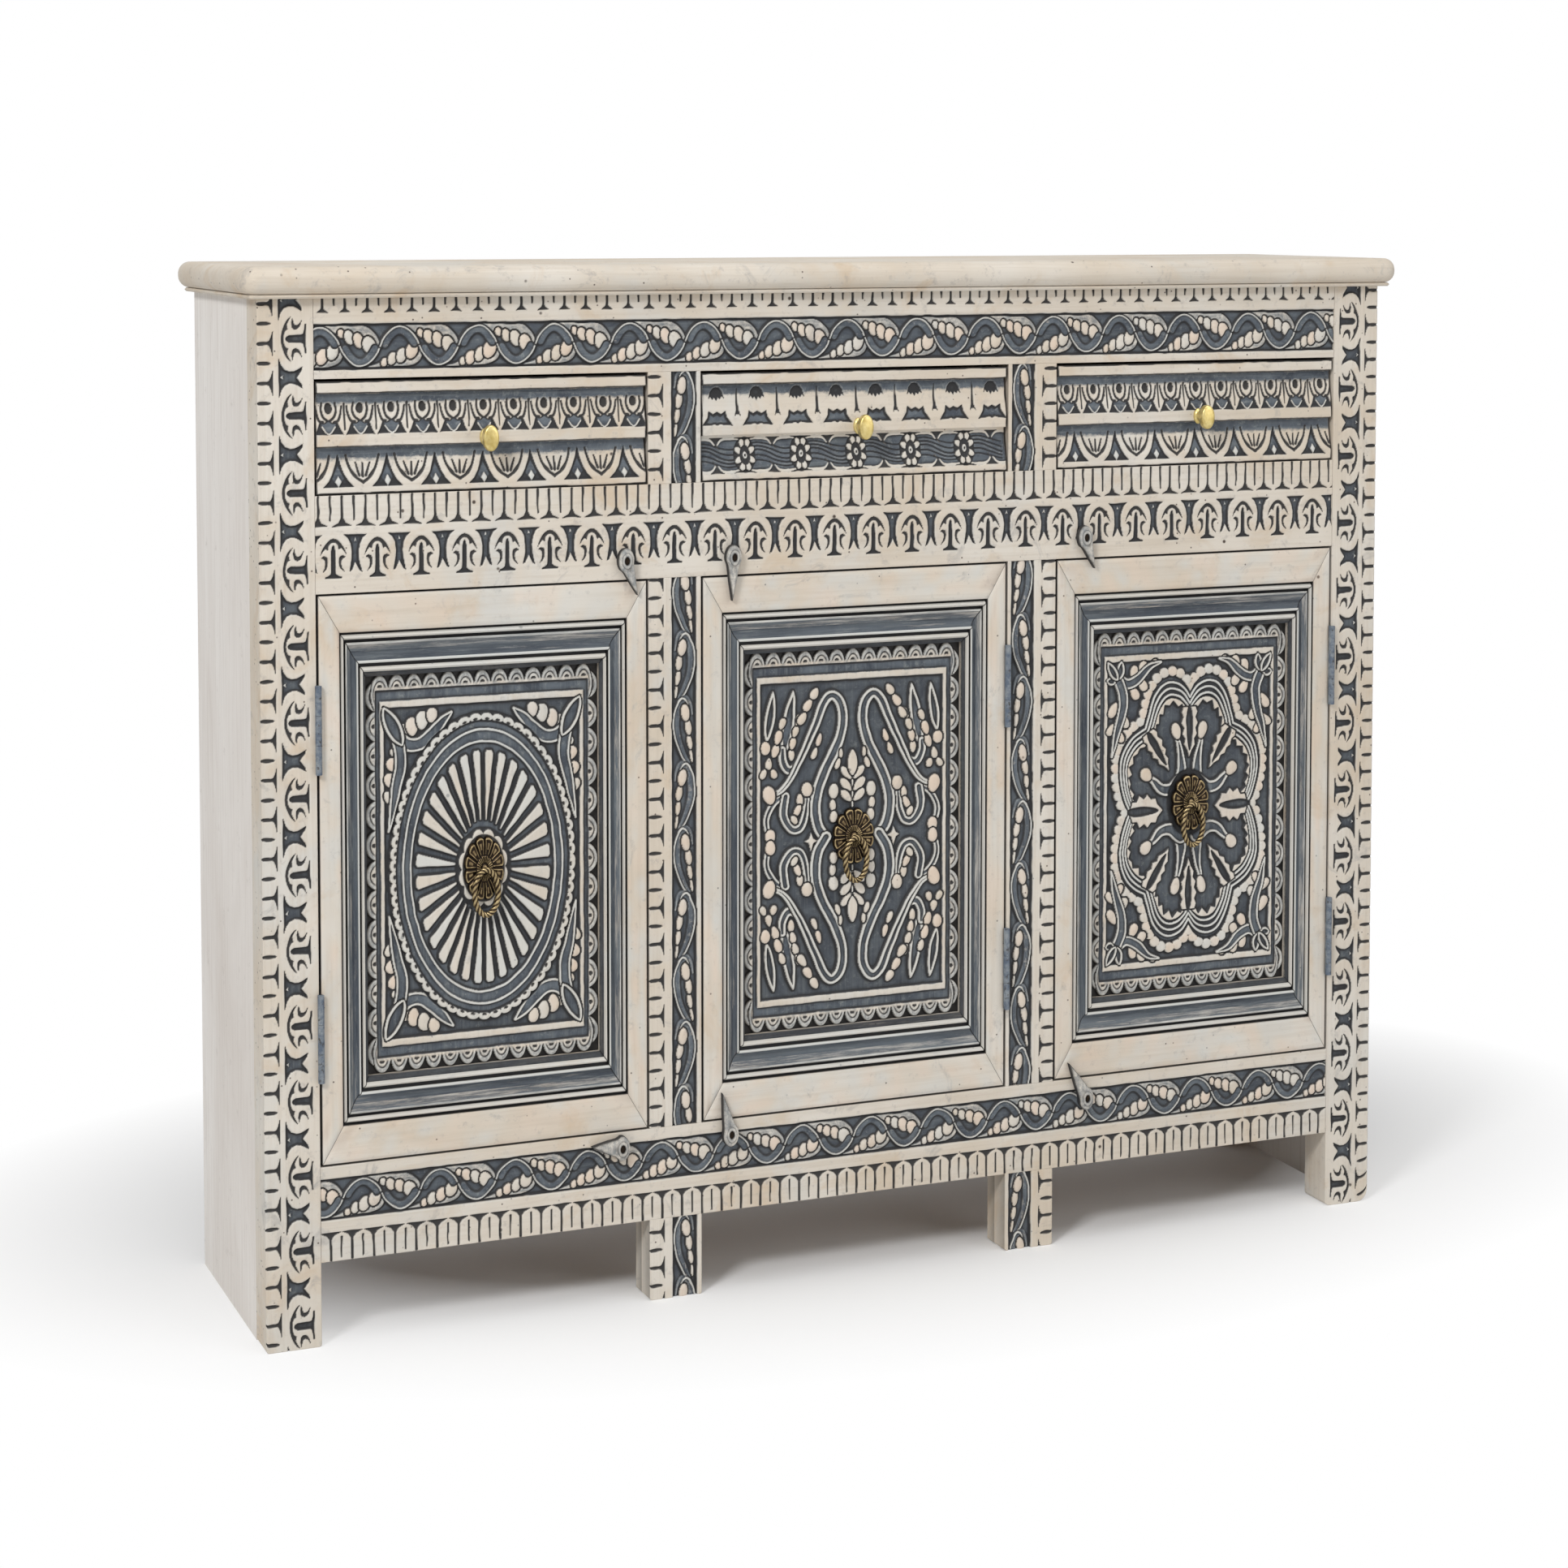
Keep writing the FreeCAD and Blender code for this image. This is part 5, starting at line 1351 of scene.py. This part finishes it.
def flower_rings(c):
    """The flower's scalloped rim, its three lines and its toothed inner edge."""
    rng = np.random.default_rng(7)
    c.lay(grown(polygon(flower_ring(0.0)), 2.6), GROUND + 0.2, 0.9, 0.95, slope=1.4)
    for x, z in spaced(flower_ring(0.07), 9.2):
        c.lay(oval(x, z, 5.3, 5.3), RIDGE + 0.3, 0.1, 0.0, rng.uniform(-0.6, 0.7), dome=0.8, slope=CLEAN)
    c.lay(polygon(flower_ring(0.27)), 2.5, 1.0, 0.8, slope=CRISP)
    c.lay(polygon(flower_ring(0.33)), 2.3, 1.0, 0.2, slope=CRISP)
    for share in (0.50, 0.73, 0.96):
        ring = flower_ring(share)
        c.lay(stroke(ring + ring[:1], 2.1), RIDGE, 0.0, 0.0, -1.0, slope=CRISP)
    c.lay(polygon(flower_ring(1.04)), GROUND, 1.0, 0.8, slope=CRISP)
    teeth = []
    for k, (x, z) in enumerate(spaced(flower_ring(1.22), 5.2)):
        pull = 1.0 - (0.05 if k % 2 else 0.0) * rng.uniform(0.5, 1.4)
        teeth.append((x * pull, z * pull))
    c.lay(polygon(flower_ring(1.10)), RIDGE + 0.5, 0.1, 0.0, 0.1, slope=CRISP)
    c.lay(grown(polygon(teeth), 0.8), RIBBON, 0.9, 0.95, slope=CRISP)
    c.lay(polygon(teeth), GROUND, 1.0, 0.35, slope=CRISP)


def flower_carving(c):
    """Right door: an eight-lobed flower of triple lines, horned stamens and jagged leaves."""
    flower_rings(c)
    for sz in (-1, 1):
        tongue(c, (0, sz * 100), (0, sz * 50), 17.0)
    for m in QUARTERS:
        tongue(c, *m([(46, 77), (22, 38)]), 17.0)
        c.ribbon(smooth_path(m([(9, 26), (8.5, 41), (10, 55), (13.5, 69)])), 13.0, 4.6, 2.2, 1.0)
        c.petal(*m([(13.5, 72), (15.5, 81)]), 7.0, 9.0, 0.3)
        c.ribbon(smooth_path(m([(9, 27), (20, 20.0), (31, 21), (39, 29), (46, 35)])), 15.0, 4.8, 2.3, 1.4)
        c.petal(*m([(46, 34), (49, 38)]), 8.0, 10.5, 0.3)
        petals(c, FLOWER_PETALS, m)
        c.ribbon(smooth_path(m([(80, 132), (69, 126), (57, 131), (45, 142), (33, 146)])), 10.5, 3.0, 1.9, 3.0)
        c.ribbon(smooth_path(m([(80, 132), (74, 116), (75, 98), (81, 78), (86, 56)])), 10.5, 2.5, 1.9, 3.0)
        for ends in CORNER_LEAVES:
            c.outlined_leaf(*m(ends), 9.0, 1.9, -0.1)
    for sx in (-1, 1):
        m = mirror(sx, 1)
        spiky = SPIKES + tuple((x, -z) for x, z in reversed(SPIKES[1:-1]))
        c.raised(polygon(m(spiky)), RIDGE + 0.3, 0.05, 0.2, 0.0, 1.1, 0.95, SLOPE)
        c.lay(leaf(*m([(69, 0), (34, 0)]), 9.5, -0.2), GROUND, 1.0, 0.4, slope=CLEAN)
    c.lay(oval(0, 5.8, 24.0, 33.0), GROUND, 0.8, 0.9, slope=3.0)


# The moulding's section from its outer edge in: each stretch has its start and end as shares of the breadth,
# the rise of its start, middle and end, and its blue, dark and warm paint
# The dark paint at the edges and in the grooves of the section is painted shade
MOULDING = (
    (0.00, 0.045, 0.60, 0.60, 0.68, 0.5, 1.0, 0.0),
    (0.045, 0.150, 0.76, 1.08, 0.82, 0.12, 0.0, -0.6),
    (0.150, 0.225, 0.58, 0.50, 0.58, 0.9, 1.0, 0.0),
    (0.225, 0.275, 0.84, 0.90, 0.86, 0.40, 0.0, -0.8),
    (0.275, 0.42, 0.84, 0.70, 0.60, 0.64, 0.10, -0.3),
    (0.42, 0.63, 0.60, 0.52, 0.72, 0.84, 0.15, -0.3),
    (0.63, 0.69, 0.84, 0.93, 0.84, 0.05, 0.0, -1.0),
    (0.69, 0.775, 0.56, 0.50, 0.56, 0.9, 1.0, 0.0),
    (0.775, 0.885, 0.74, 0.98, 0.72, 0.14, 0.0, -0.6),
    (0.885, 1.00, 0.62, 0.56, 0.50, 0.75, 0.65, 0.0),
)
MOULDING_RELIEF = 12.0
MOULDING_WIDTH = 24.0
MOULDING_HEIGHT = 40.0


def moulding_profile():
    """Share of breadth, rise and paint of each line of the section."""
    lines = []
    for s0, s1, r0, r1, r2, blue, dark, warm in MOULDING:
        steps = max(3, round((s1 - s0) * 60))
        for k in range(steps + 1):
            t = k / steps
            rise = r0 * (1 - t) * (1 - 2 * t) + 4 * r1 * t * (1 - t) + r2 * t * (2 * t - 1)
            rub = 0.5 * max(0.0, rise - 0.9)
            share = min(s0 + (s1 - s0) * t + 0.0004 * k, 1.0)
            lines.append((share, rise, (blue, dark, warm * 0.5 + 0.5, rub)))
    return lines


def rectangle(x0, x1, z0, z1):
    """Corners of a rectangle, round from its lower left."""
    return [(x0, z0), (x1, z0), (x1, z1), (x0, z1)]


# The moulding's mitres: the breadth of their cut, its depth and the dirt beside it
MITRE_STEP = 0.5
MITRE_DEPTH = 0.5
MITRE_DIRT = 0.55


def moulding_rings(lines, outer, inner):
    """Corners and paint of the moulding, a ring for each line of its section, and the cuts along a side."""
    verts, paint = [], []
    cuts = 0
    for s, rise, (blue, dark, warm, rub) in lines:
        corners = rectangle(*(outer[k] + s * (inner[k] - outer[k]) for k in range(4)))
        for a, b in zip(corners, corners[1:] + corners[:1]):
            length = math.dist(a, b)
            along = [0.0, MITRE_STEP, 2 * MITRE_STEP, *np.linspace(6, length - 6, 38),
                     length - 2 * MITRE_STEP, length - MITRE_STEP]
            cuts = len(along)
            for k, place in enumerate(along):
                t = place / length
                sink = MITRE_DEPTH if k == 0 else 0.0
                verts.append((a[0] + (b[0] - a[0]) * t, FRONT + MOULDING_RELIEF * (1 - rise) + sink,
                              a[1] + (b[1] - a[1]) * t))
                mark = 1.0 if k == 0 else MITRE_DIRT if k in (1, cuts - 1) else dark
                paint.append((blue, max(mark, dark), warm, rub))
    return verts, paint, cuts


def moulding(side, outer, inner, body):
    """The mitred moulding: nested rectangles from its outer to its inner edge, closed by a flat back."""
    lines = moulding_profile()
    verts, paint, cuts = moulding_rings(lines, outer, inner)
    ring = 4 * cuts
    count, last = len(verts), (len(lines) - 1) * ring
    for base in (0, last):
        for x, _, z in verts[base:base + ring]:
            verts.append((x, FRONT + MOULDING_RELIEF, z))
            paint.append(BACK_PAINT)
    faces, finish = [], []
    for level in range(0, last, ring):
        for k in range(ring):
            n = (k + 1) % ring
            faces.append((level + k, level + n, level + ring + n, level + ring + k))
            finish.append((k // cuts) % 2)
    for k in range(ring):
        n = (k + 1) % ring
        faces += [(n, k, count + k, count + n), (last + k, last + n, count + ring + n, count + ring + k),
                  (count + n, count + k, count + ring + k, count + ring + n)]
        finish += [0, 0, 0]
    made = mesh_piece(f"door_{side}_moulding", verts, np.array(faces), body,
                      (DRAWN_X, DRAWN_Z), False, np.array(paint), finish)
    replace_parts(made, f"door_moulding_{side}")


def door_frame(side, inner, body):
    """Four mitred boards with eased edges. The edges lie back a little behind the hinge leaves."""
    low, high = span(f"door_frame_{side}")
    outer_ring = rectangle(low[0] + LEAF_CLEAR, high[0] - LEAF_CLEAR, low[2], high[2])
    inner_ring = rectangle(*inner)
    ease, mitre_depth = 1.1, 0.4
    for k, name in enumerate(("foot", "right", "head", "left")):
        a, b = np.array(outer_ring[k]), np.array(outer_ring[(k + 1) % 4])
        p, q = np.array(inner_ring[k]), np.array(inner_ring[(k + 1) % 4])
        step_u = ease / math.dist(a, b)
        step_v = ease / (MOULDING_WIDTH if k % 2 else MOULDING_HEIGHT)
        u = np.concatenate([[0], np.linspace(step_u / 2, 1 - step_u / 2, 60), [1]])[None, :, None]
        v = np.concatenate([[0], np.linspace(step_v, 1 - step_v, 9), [1]])[:, None, None]
        flat = (a * (1 - u) + b * u) * (1 - v) + (p * (1 - u) + q * u) * v
        mitre = (u == 0) | (u == 1)
        edge = (v == 0) | (v == 1)
        sunk = np.where(edge, ease, np.where(mitre, mitre_depth, 0.0))
        front = np.concatenate([flat[..., :1], FRONT + sunk, flat[..., 1:]], -1)
        paint = np.zeros(flat.shape[:2] + (4,))
        smudge = smooth_noise(paint.shape[:2], 3, 31 + k + 4 * SIDES.index(side))
        ends = np.clip(1 - np.minimum(u[..., 0], 1 - u[..., 0]) / 0.12, 0, 1)
        # The eased edges are painted dark as painted shade in the gaps round the frame; the mitres as dark
        # joints
        dark = np.where(edge, 0.95, np.where(mitre, 0.7, 0.0))[..., 0]
        paint[..., 1] = np.maximum(dark, np.clip(0.25 * ends * smudge, 0, 0.2))
        paint[..., 2] = 0.5 + 0.3 * smudge
        made = slab(f"door_{side}_frame_{name}", front, paint, high[1], body,
                    WOOD_Z if k % 2 else WOOD_X, 0.95)
        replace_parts(made, f"door_frame_{side}")


def lathe_faces(rings, around):
    """Quads between rings of points round a middle, from the middle out."""
    faces = []
    for r in range(rings - 1):
        for k in range(around):
            n = (k + 1) % around
            faces.append((r * around + k, r * around + n, (r + 1) * around + n, (r + 1) * around + k))
    return np.array(faces)


def petal_rise(s, turn):
    """Height of the rosette, and its polish, at a share of its radius and an angle."""
    lobe = abs(math.sin(ROSETTE_PETALS / 2 * turn))
    if s < 0.13:
        return 1.0 + 0.22 * math.cos(s / 0.13 * math.pi / 2), 0.9 - 3 * s
    if s < 0.20:
        return 0.72, 0.0
    if s < 0.40:
        fine = math.sin(14 * turn) ** 2
        return 0.78 + 0.16 * fine, 0.75 * fine
    if s < 0.45:
        return 0.62, 0.0
    t = (s - 0.45) / 0.55
    rim = math.exp(-((lobe - 0.42 - 0.25 * (1 - t)) / 0.13) ** 2)
    tip = math.exp(-((t - 0.86) / 0.07) ** 2) * (lobe > 0.5)
    heart = math.exp(-((lobe - 1.0) / 0.10) ** 2) * (0.25 < t < 0.62)
    raised = max(rim * (t < 0.90), tip, 0.7 * heart)
    gap = math.exp(-(lobe / 0.14) ** 2)
    rise = 0.56 + 0.20 * math.sin(math.pi * min(t * 0.9 + 0.1, 1)) + 0.15 * raised - 0.22 * gap
    if t > 0.92:
        rise *= 1 - (t - 0.92) / 0.08 * 0.9
    return rise, 0.85 * raised - 0.3 * gap


def rosette(side, face, body):
    """A cast rosette: twelve outlined petals round a ridged boss and a centre stud."""
    low, high = span(f"door_rosette_{side}")
    cx, cz = (low[0] + high[0]) / 2, (low[2] + high[2]) / 2
    half_x, half_z = (high[0] - low[0]) / 2, (high[2] - low[2]) / 2
    rings, around = ((60, 288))
    verts, paint = [], []
    for r in range(rings + 1):
        s = r / rings
        for k in range(around):
            turn = 2 * math.pi * k / around
            size = s * (0.88 + 0.12 * abs(math.sin(ROSETTE_PETALS / 2 * turn)) ** 0.5)
            rise, polish = petal_rise(s, turn)
            verts.append((cx + half_x * size * math.cos(turn), face - ROSETTE_HEIGHT * rise,
                          cz + half_z * size * math.sin(turn)))
            paint.append((min(max(polish, 0), 1), 0.0, 0.0, 0.0))
    made = mesh_piece(f"rosette_{side}", verts, lathe_faces(rings + 1, around), body,
                      DARK_BRASS, paint=np.array(paint))
    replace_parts(made, f"door_rosette_{side}")


def twisted_ring(side, body):
    """An oval ring with the twist of a rope."""
    low, high = span(f"door_ring_{side}")
    cx, y, cz = (low + high) / 2
    wire = (high[1] - low[1]) / 2
    half_x, half_z = (high[0] - low[0]) / 2 - wire, (high[2] - low[2]) / 2 - wire
    stations, around = ((320, 30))
    strands, turns = 3, 7
    verts, faces, paint = [], [], []
    for k in range(stations):
        turn = 2 * math.pi * k / stations
        middle = Vector((cx + half_x * math.sin(turn), y, cz + half_z * math.cos(turn)))
        out = Vector((math.sin(turn) * half_z, 0, math.cos(turn) * half_x)).normalized()
        for n in range(around):
            a = 2 * math.pi * n / around
            swell = abs(math.cos(strands * a / 2 + turns * turn * strands / 2)) ** 0.6
            radius = wire * (0.68 + 0.32 * swell)
            verts.append(middle + out * (radius * math.cos(a)) + Vector((0, radius * math.sin(a), 0)))
            paint.append((max(0.0, 1.35 * swell - 0.5), 0.0, 0.0, 0.0))
            m, q = (k + 1) % stations, (n + 1) % around
            faces.append((k * around + n, m * around + n, m * around + q, k * around + q))
    made = mesh_piece(f"ring_{side}", verts, np.array(faces), body, DARK_BRASS,
                      paint=np.array(paint))
    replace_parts(made, f"door_ring_{side}")


# How far a panel and a rosette lie behind the front, and how far a panel's carving runs on under the moulding
PANEL_SINK = 9.0
ROSETTE_SINK = 10.0
PANEL_LAP = 5.0


def door_panel(side, inner, body, carve):
    """A door's carved panel, drawn about its own middle and then put in place."""
    half_x, half_z = (inner[1] - inner[0]) / 2, (inner[3] - inner[2]) / 2
    c = Carving(-half_x - PANEL_LAP, half_x + PANEL_LAP, -half_z - PANEL_LAP, half_z + PANEL_LAP,
                101 + SIDES.index(side))
    border(c, half_x, half_z)
    carve(c)
    c.x += (inner[0] + inner[1]) / 2
    c.z += (inner[2] + inner[3]) / 2
    node = f"door_panel_{side}"
    back = span(node)[1][1]
    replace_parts(carved_piece(f"door_{side}_panel_carved", c, FRONT + PANEL_SINK, back, body, WOOD_Z), node)


def doors():
    for side, carve in zip(SIDES, (wheel_carving, scroll_carving, flower_carving)):
        body = f"door_{side}"
        low, high = span(f"door_moulding_{side}")
        outer = (low[0], high[0], low[2], high[2])
        inner = (low[0] + MOULDING_WIDTH, high[0] - MOULDING_WIDTH,
                 low[2] + MOULDING_HEIGHT, high[2] - MOULDING_HEIGHT)
        moulding(side, outer, inner, body)
        door_frame(side, outer, body)
        door_panel(side, inner, body, carve)
        rosette(side, FRONT + ROSETTE_SINK, body)
        twisted_ring(side, f"pull_{side}")


# A knob's section from its foot out, as shares of its reach and of its half size
KNOB_SECTION = ((0.0, 0.62), (0.04, 0.66), (0.09, 0.62), (0.12, 0.50), (0.18, 0.38), (0.32, 0.34),
                (0.44, 0.38), (0.52, 0.52), (0.60, 0.86), (0.66, 0.97), (0.74, 1.0), (0.84, 1.0),
                (0.92, 0.98), (0.965, 0.93), (0.985, 0.86), (0.995, 0.60), (1.0, 0.0))


def knobs():
    """Oval knobs, turned smooth, with a flat face."""
    around = 64
    for side in SIDES:
        low, high = span(f"drawer_knob_{side}")
        cx, _, cz = (low + high) / 2
        half_x, _, half_z = (high - low) / 2
        reach = FRONT - low[1]
        verts = []
        for share, size in KNOB_SECTION:
            for k in range(around):
                turn = 2 * math.pi * k / around
                verts.append((cx + half_x * size * math.cos(turn), FRONT - reach * share,
                              cz + half_z * size * math.sin(turn)))
        faces = lathe_faces(len(KNOB_SECTION), around)[:, ::-1]
        made = mesh_piece(f"knob_{side}", verts, faces, f"drawer_{side}", BRIGHT_BRASS)
        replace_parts(made, f"drawer_knob_{side}")


# Turn buttons: how much narrower they are than tall, the radius of the round end, the share of it that is
# round the screw, and the section from the pivot out: shares of the way to the edge, depths and dark paint
TURN_SQUEEZE = 0.66
TURN_RADIUS = 11.5
TURN_EYE_SHARE = 0.62
TURN_SECTION = ((0.0, 3.6, 1.0), (0.20, 3.4, 1.0), (0.30, 2.4, 1.0), (0.34, 0.7, 0.5), (0.42, 0.1, 0.0),
                (0.56, 0.2, 0.0), (0.62, 0.9, 0.5), (0.70, 0.9, 0.1), (0.84, 1.3, 0.0), (0.94, 2.4, 0.2),
                (1.0, 4.0, 0.8))


def tip_of(node, px, pz):
    """The way from a turn button's pivot to its tip, with its breadth unsqueezed: an angle and a length."""
    reach = []
    for vertex in frame["nodes"][node].data.vertices:
        reach.append(((vertex.co.x / MM - px) / TURN_SQUEEZE, vertex.co.z / MM - pz))
    tip = max(reach, key=lambda p: math.hypot(*p))
    return math.atan2(tip[1], tip[0]), math.hypot(*tip)


def teardrop_reach(bend, spread):
    """How far the edge lies from the pivot, at an angle from the tip."""
    if abs(bend) >= spread:
        return TURN_RADIUS
    return TURN_RADIUS / math.cos(spread - abs(bend)) - 1.6 * math.sin(math.pi * abs(bend) / spread)


def turn_button(place, side, pivot):
    """A teardrop that turns on a screw at its round end."""
    node = f"turn_{place}_{side}"
    px, _, pz = (value / MM for value in pivot)
    aim, length = tip_of(node, px, pz)
    spread = math.acos(TURN_RADIUS / length)
    low, high = span(node)
    around = 96
    eye = TURN_RADIUS * TURN_EYE_SHARE
    verts, paint = [], []
    for share, depth, dark in TURN_SECTION + ((1.0, high[1] - low[1], 1.0),):
        for k in range(around):
            bend = 2 * math.pi * k / around - math.pi
            bend = math.copysign(abs(bend / math.pi) ** 1.5 * math.pi, bend)
            at = TURN_RADIUS * share
            if share >= TURN_EYE_SHARE:
                outward = (share - TURN_EYE_SHARE) / (1 - TURN_EYE_SHARE)
                at = eye + (teardrop_reach(bend, spread) - eye) * outward
            verts.append((px + TURN_SQUEEZE * at * math.cos(aim + bend), low[1] + depth,
                          pz + at * math.sin(aim + bend)))
            paint.append((0.46, dark, 0.3, 0.3 if dark == 0 else 0.0))
    faces = lathe_faces(len(TURN_SECTION) + 1, around)
    made = mesh_piece(f"turn_button_{place}_{side}", verts, faces, f"button_{place}_{side}",
                      WOOD_Z, paint=np.array(paint))
    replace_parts(made, node)


def turn_buttons():
    pivots = {joint["child"]: joint["pos_m"] for joint in frame["joints"]}
    for side in SIDES:
        for place in ("upper", "lower"):
            turn_button(place, side, pivots[f"button_{place}_{side}"])


def dress_cad_nodes():
    """CAD nodes that stay as they are get their finish."""
    finishes = {
        "top_board": CREAM_X, "top_bead_board": CREAM_X,
        "side_panel_left": GREY_Z, "side_panel_right": GREY_Z, "back_panel": GREY_Z,
        "hinge_pins": HINGE_PAINT, "turn_screws": DARK_BRASS,
    }
    for side in SIDES:
        finishes[f"hinge_leaves_{side}"] = HINGE_PAINT
    for name, node in frame["nodes"].items():
        node.data.materials.clear()
        node.data.materials.append(finishes.get(name, RAW))


# Floor, light and camera, in metres

AMBIENT = 0.30
FLOOR_SIZE = 30.0

# The camera, as fitted to the cabinet's corners in the photograph: turned to the right and tilted down a
# little, in radians, and standing this far from the foot of the front's middle
YAW, PITCH_DOWN, ROLL = 0.3908, 0.0607, 0.0004
LENS_MM = 72.56
PICTURE_SHIFT = -0.25
STANDING = (-1.1755, -2.6738, 1.0073)


def floor_piece():
    """A pale floor that keeps the shadow near the cabinet and turns white far from it."""
    mesh = bpy.data.meshes.new("floor")
    corners = [(x, y, 0) for x, y in rectangle(-FLOOR_SIZE, FLOOR_SIZE, -FLOOR_SIZE, FLOOR_SIZE)]
    mesh.from_pydata(corners, [], [(0, 1, 2, 3)])
    p = Paint("pale_floor")
    p.finish((0.94, 0.94, 0.94, 1), 0.9)
    path = p.new("ShaderNodeLightPath")
    distance = p.new("ShaderNodeVectorMath", operation="LENGTH")
    p.put(distance.inputs[0], p.stretched(0.62, 1.0, 1.0, (-0.05, -0.22, 0)))
    far = p.maths("MULTIPLY", p.ramp(distance.outputs["Value"], 0.34, 0.60), path.outputs["Is Camera Ray"])
    glow = p.new("ShaderNodeEmission")
    mixed = p.new("ShaderNodeMixShader")
    p.put(mixed.inputs[0], far)
    p.put(mixed.inputs[1], p.shader.outputs[0])
    p.put(mixed.inputs[2], glow.outputs[0])
    p.put(p.tree.nodes["Material Output"].inputs["Surface"], mixed.outputs[0])
    mesh.materials.append(p.material)
    made = bpy.data.objects.new("floor", mesh)
    bpy.context.scene.collection.objects.link(made)


def studio_world(ambient):
    """White to the camera and in reflections, dimmer as a light."""
    world = bpy.data.worlds.new("studio")
    bpy.context.scene.world = world
    world.use_nodes = True
    tree = world.node_tree
    tree.nodes.clear()
    path = tree.nodes.new("ShaderNodeLightPath")
    seen = path.outputs["Is Camera Ray"]
    for ray in ("Is Glossy Ray", "Is Transmission Ray"):
        both = tree.nodes.new("ShaderNodeMath")
        both.operation = "MAXIMUM"
        tree.links.new(seen, both.inputs[0])
        tree.links.new(path.outputs[ray], both.inputs[1])
        seen = both.outputs[0]
    strength = tree.nodes.new("ShaderNodeMapRange")
    strength.inputs["To Min"].default_value = ambient
    strength.inputs["To Max"].default_value = 1.0
    tree.links.new(seen, strength.inputs["Value"])
    glow = tree.nodes.new("ShaderNodeBackground")
    glow.inputs["Color"].default_value = (1, 1, 1, 1)
    tree.links.new(strength.outputs["Result"], glow.inputs["Strength"])
    out = tree.nodes.new("ShaderNodeOutputWorld")
    tree.links.new(glow.outputs[0], out.inputs[0])


def lamp(name, place, target, size, power):
    data = bpy.data.lights.new(name, "AREA")
    data.size = size
    data.energy = power
    made = bpy.data.objects.new(name, data)
    made.location = place
    made.rotation_euler = (Vector(target) - Vector(place)).to_track_quat("-Z", "Y").to_euler()
    bpy.context.scene.collection.objects.link(made)


def stage():
    floor_piece()
    studio_world(AMBIENT)
    lamp("key", (-2.9, -2.6, 3.0), (0, 0, 0.5), 0.9, 96)
    lamp("fill", (2.2, -3.4, 1.6), (0, 0, 0.5), 2.4, 26)
    lamp("top", (0.2, -0.8, 3.4), (0, 0, 0.3), 2.4, 34)


def camera():
    ahead = Vector((math.sin(YAW) * math.cos(PITCH_DOWN), math.cos(YAW) * math.cos(PITCH_DOWN),
                    -math.sin(PITCH_DOWN)))
    level = Vector((math.cos(YAW), -math.sin(YAW), 0))
    up = level.cross(ahead)
    right = level * math.cos(ROLL) + up * math.sin(ROLL)
    top = up * math.cos(ROLL) - level * math.sin(ROLL)
    data = bpy.data.cameras.new("camera")
    data.sensor_width = 36.0
    data.lens = LENS_MM
    data.shift_y = PICTURE_SHIFT
    made = bpy.data.objects.new("camera", data)
    bpy.context.scene.collection.objects.link(made)
    place = Vector(STANDING) + Vector((0, FRONT * MM, 0))
    made.matrix_world = Matrix.Translation(place) @ Matrix((right, top, -ahead)).transposed().to_4x4()
    bpy.context.scene.camera = made


rails()
uprights()
drawer_fronts()
doors()
knobs()
turn_buttons()
dress_cad_nodes()
stage()
camera()
bpy.context.scene.view_settings.view_transform = "Standard"
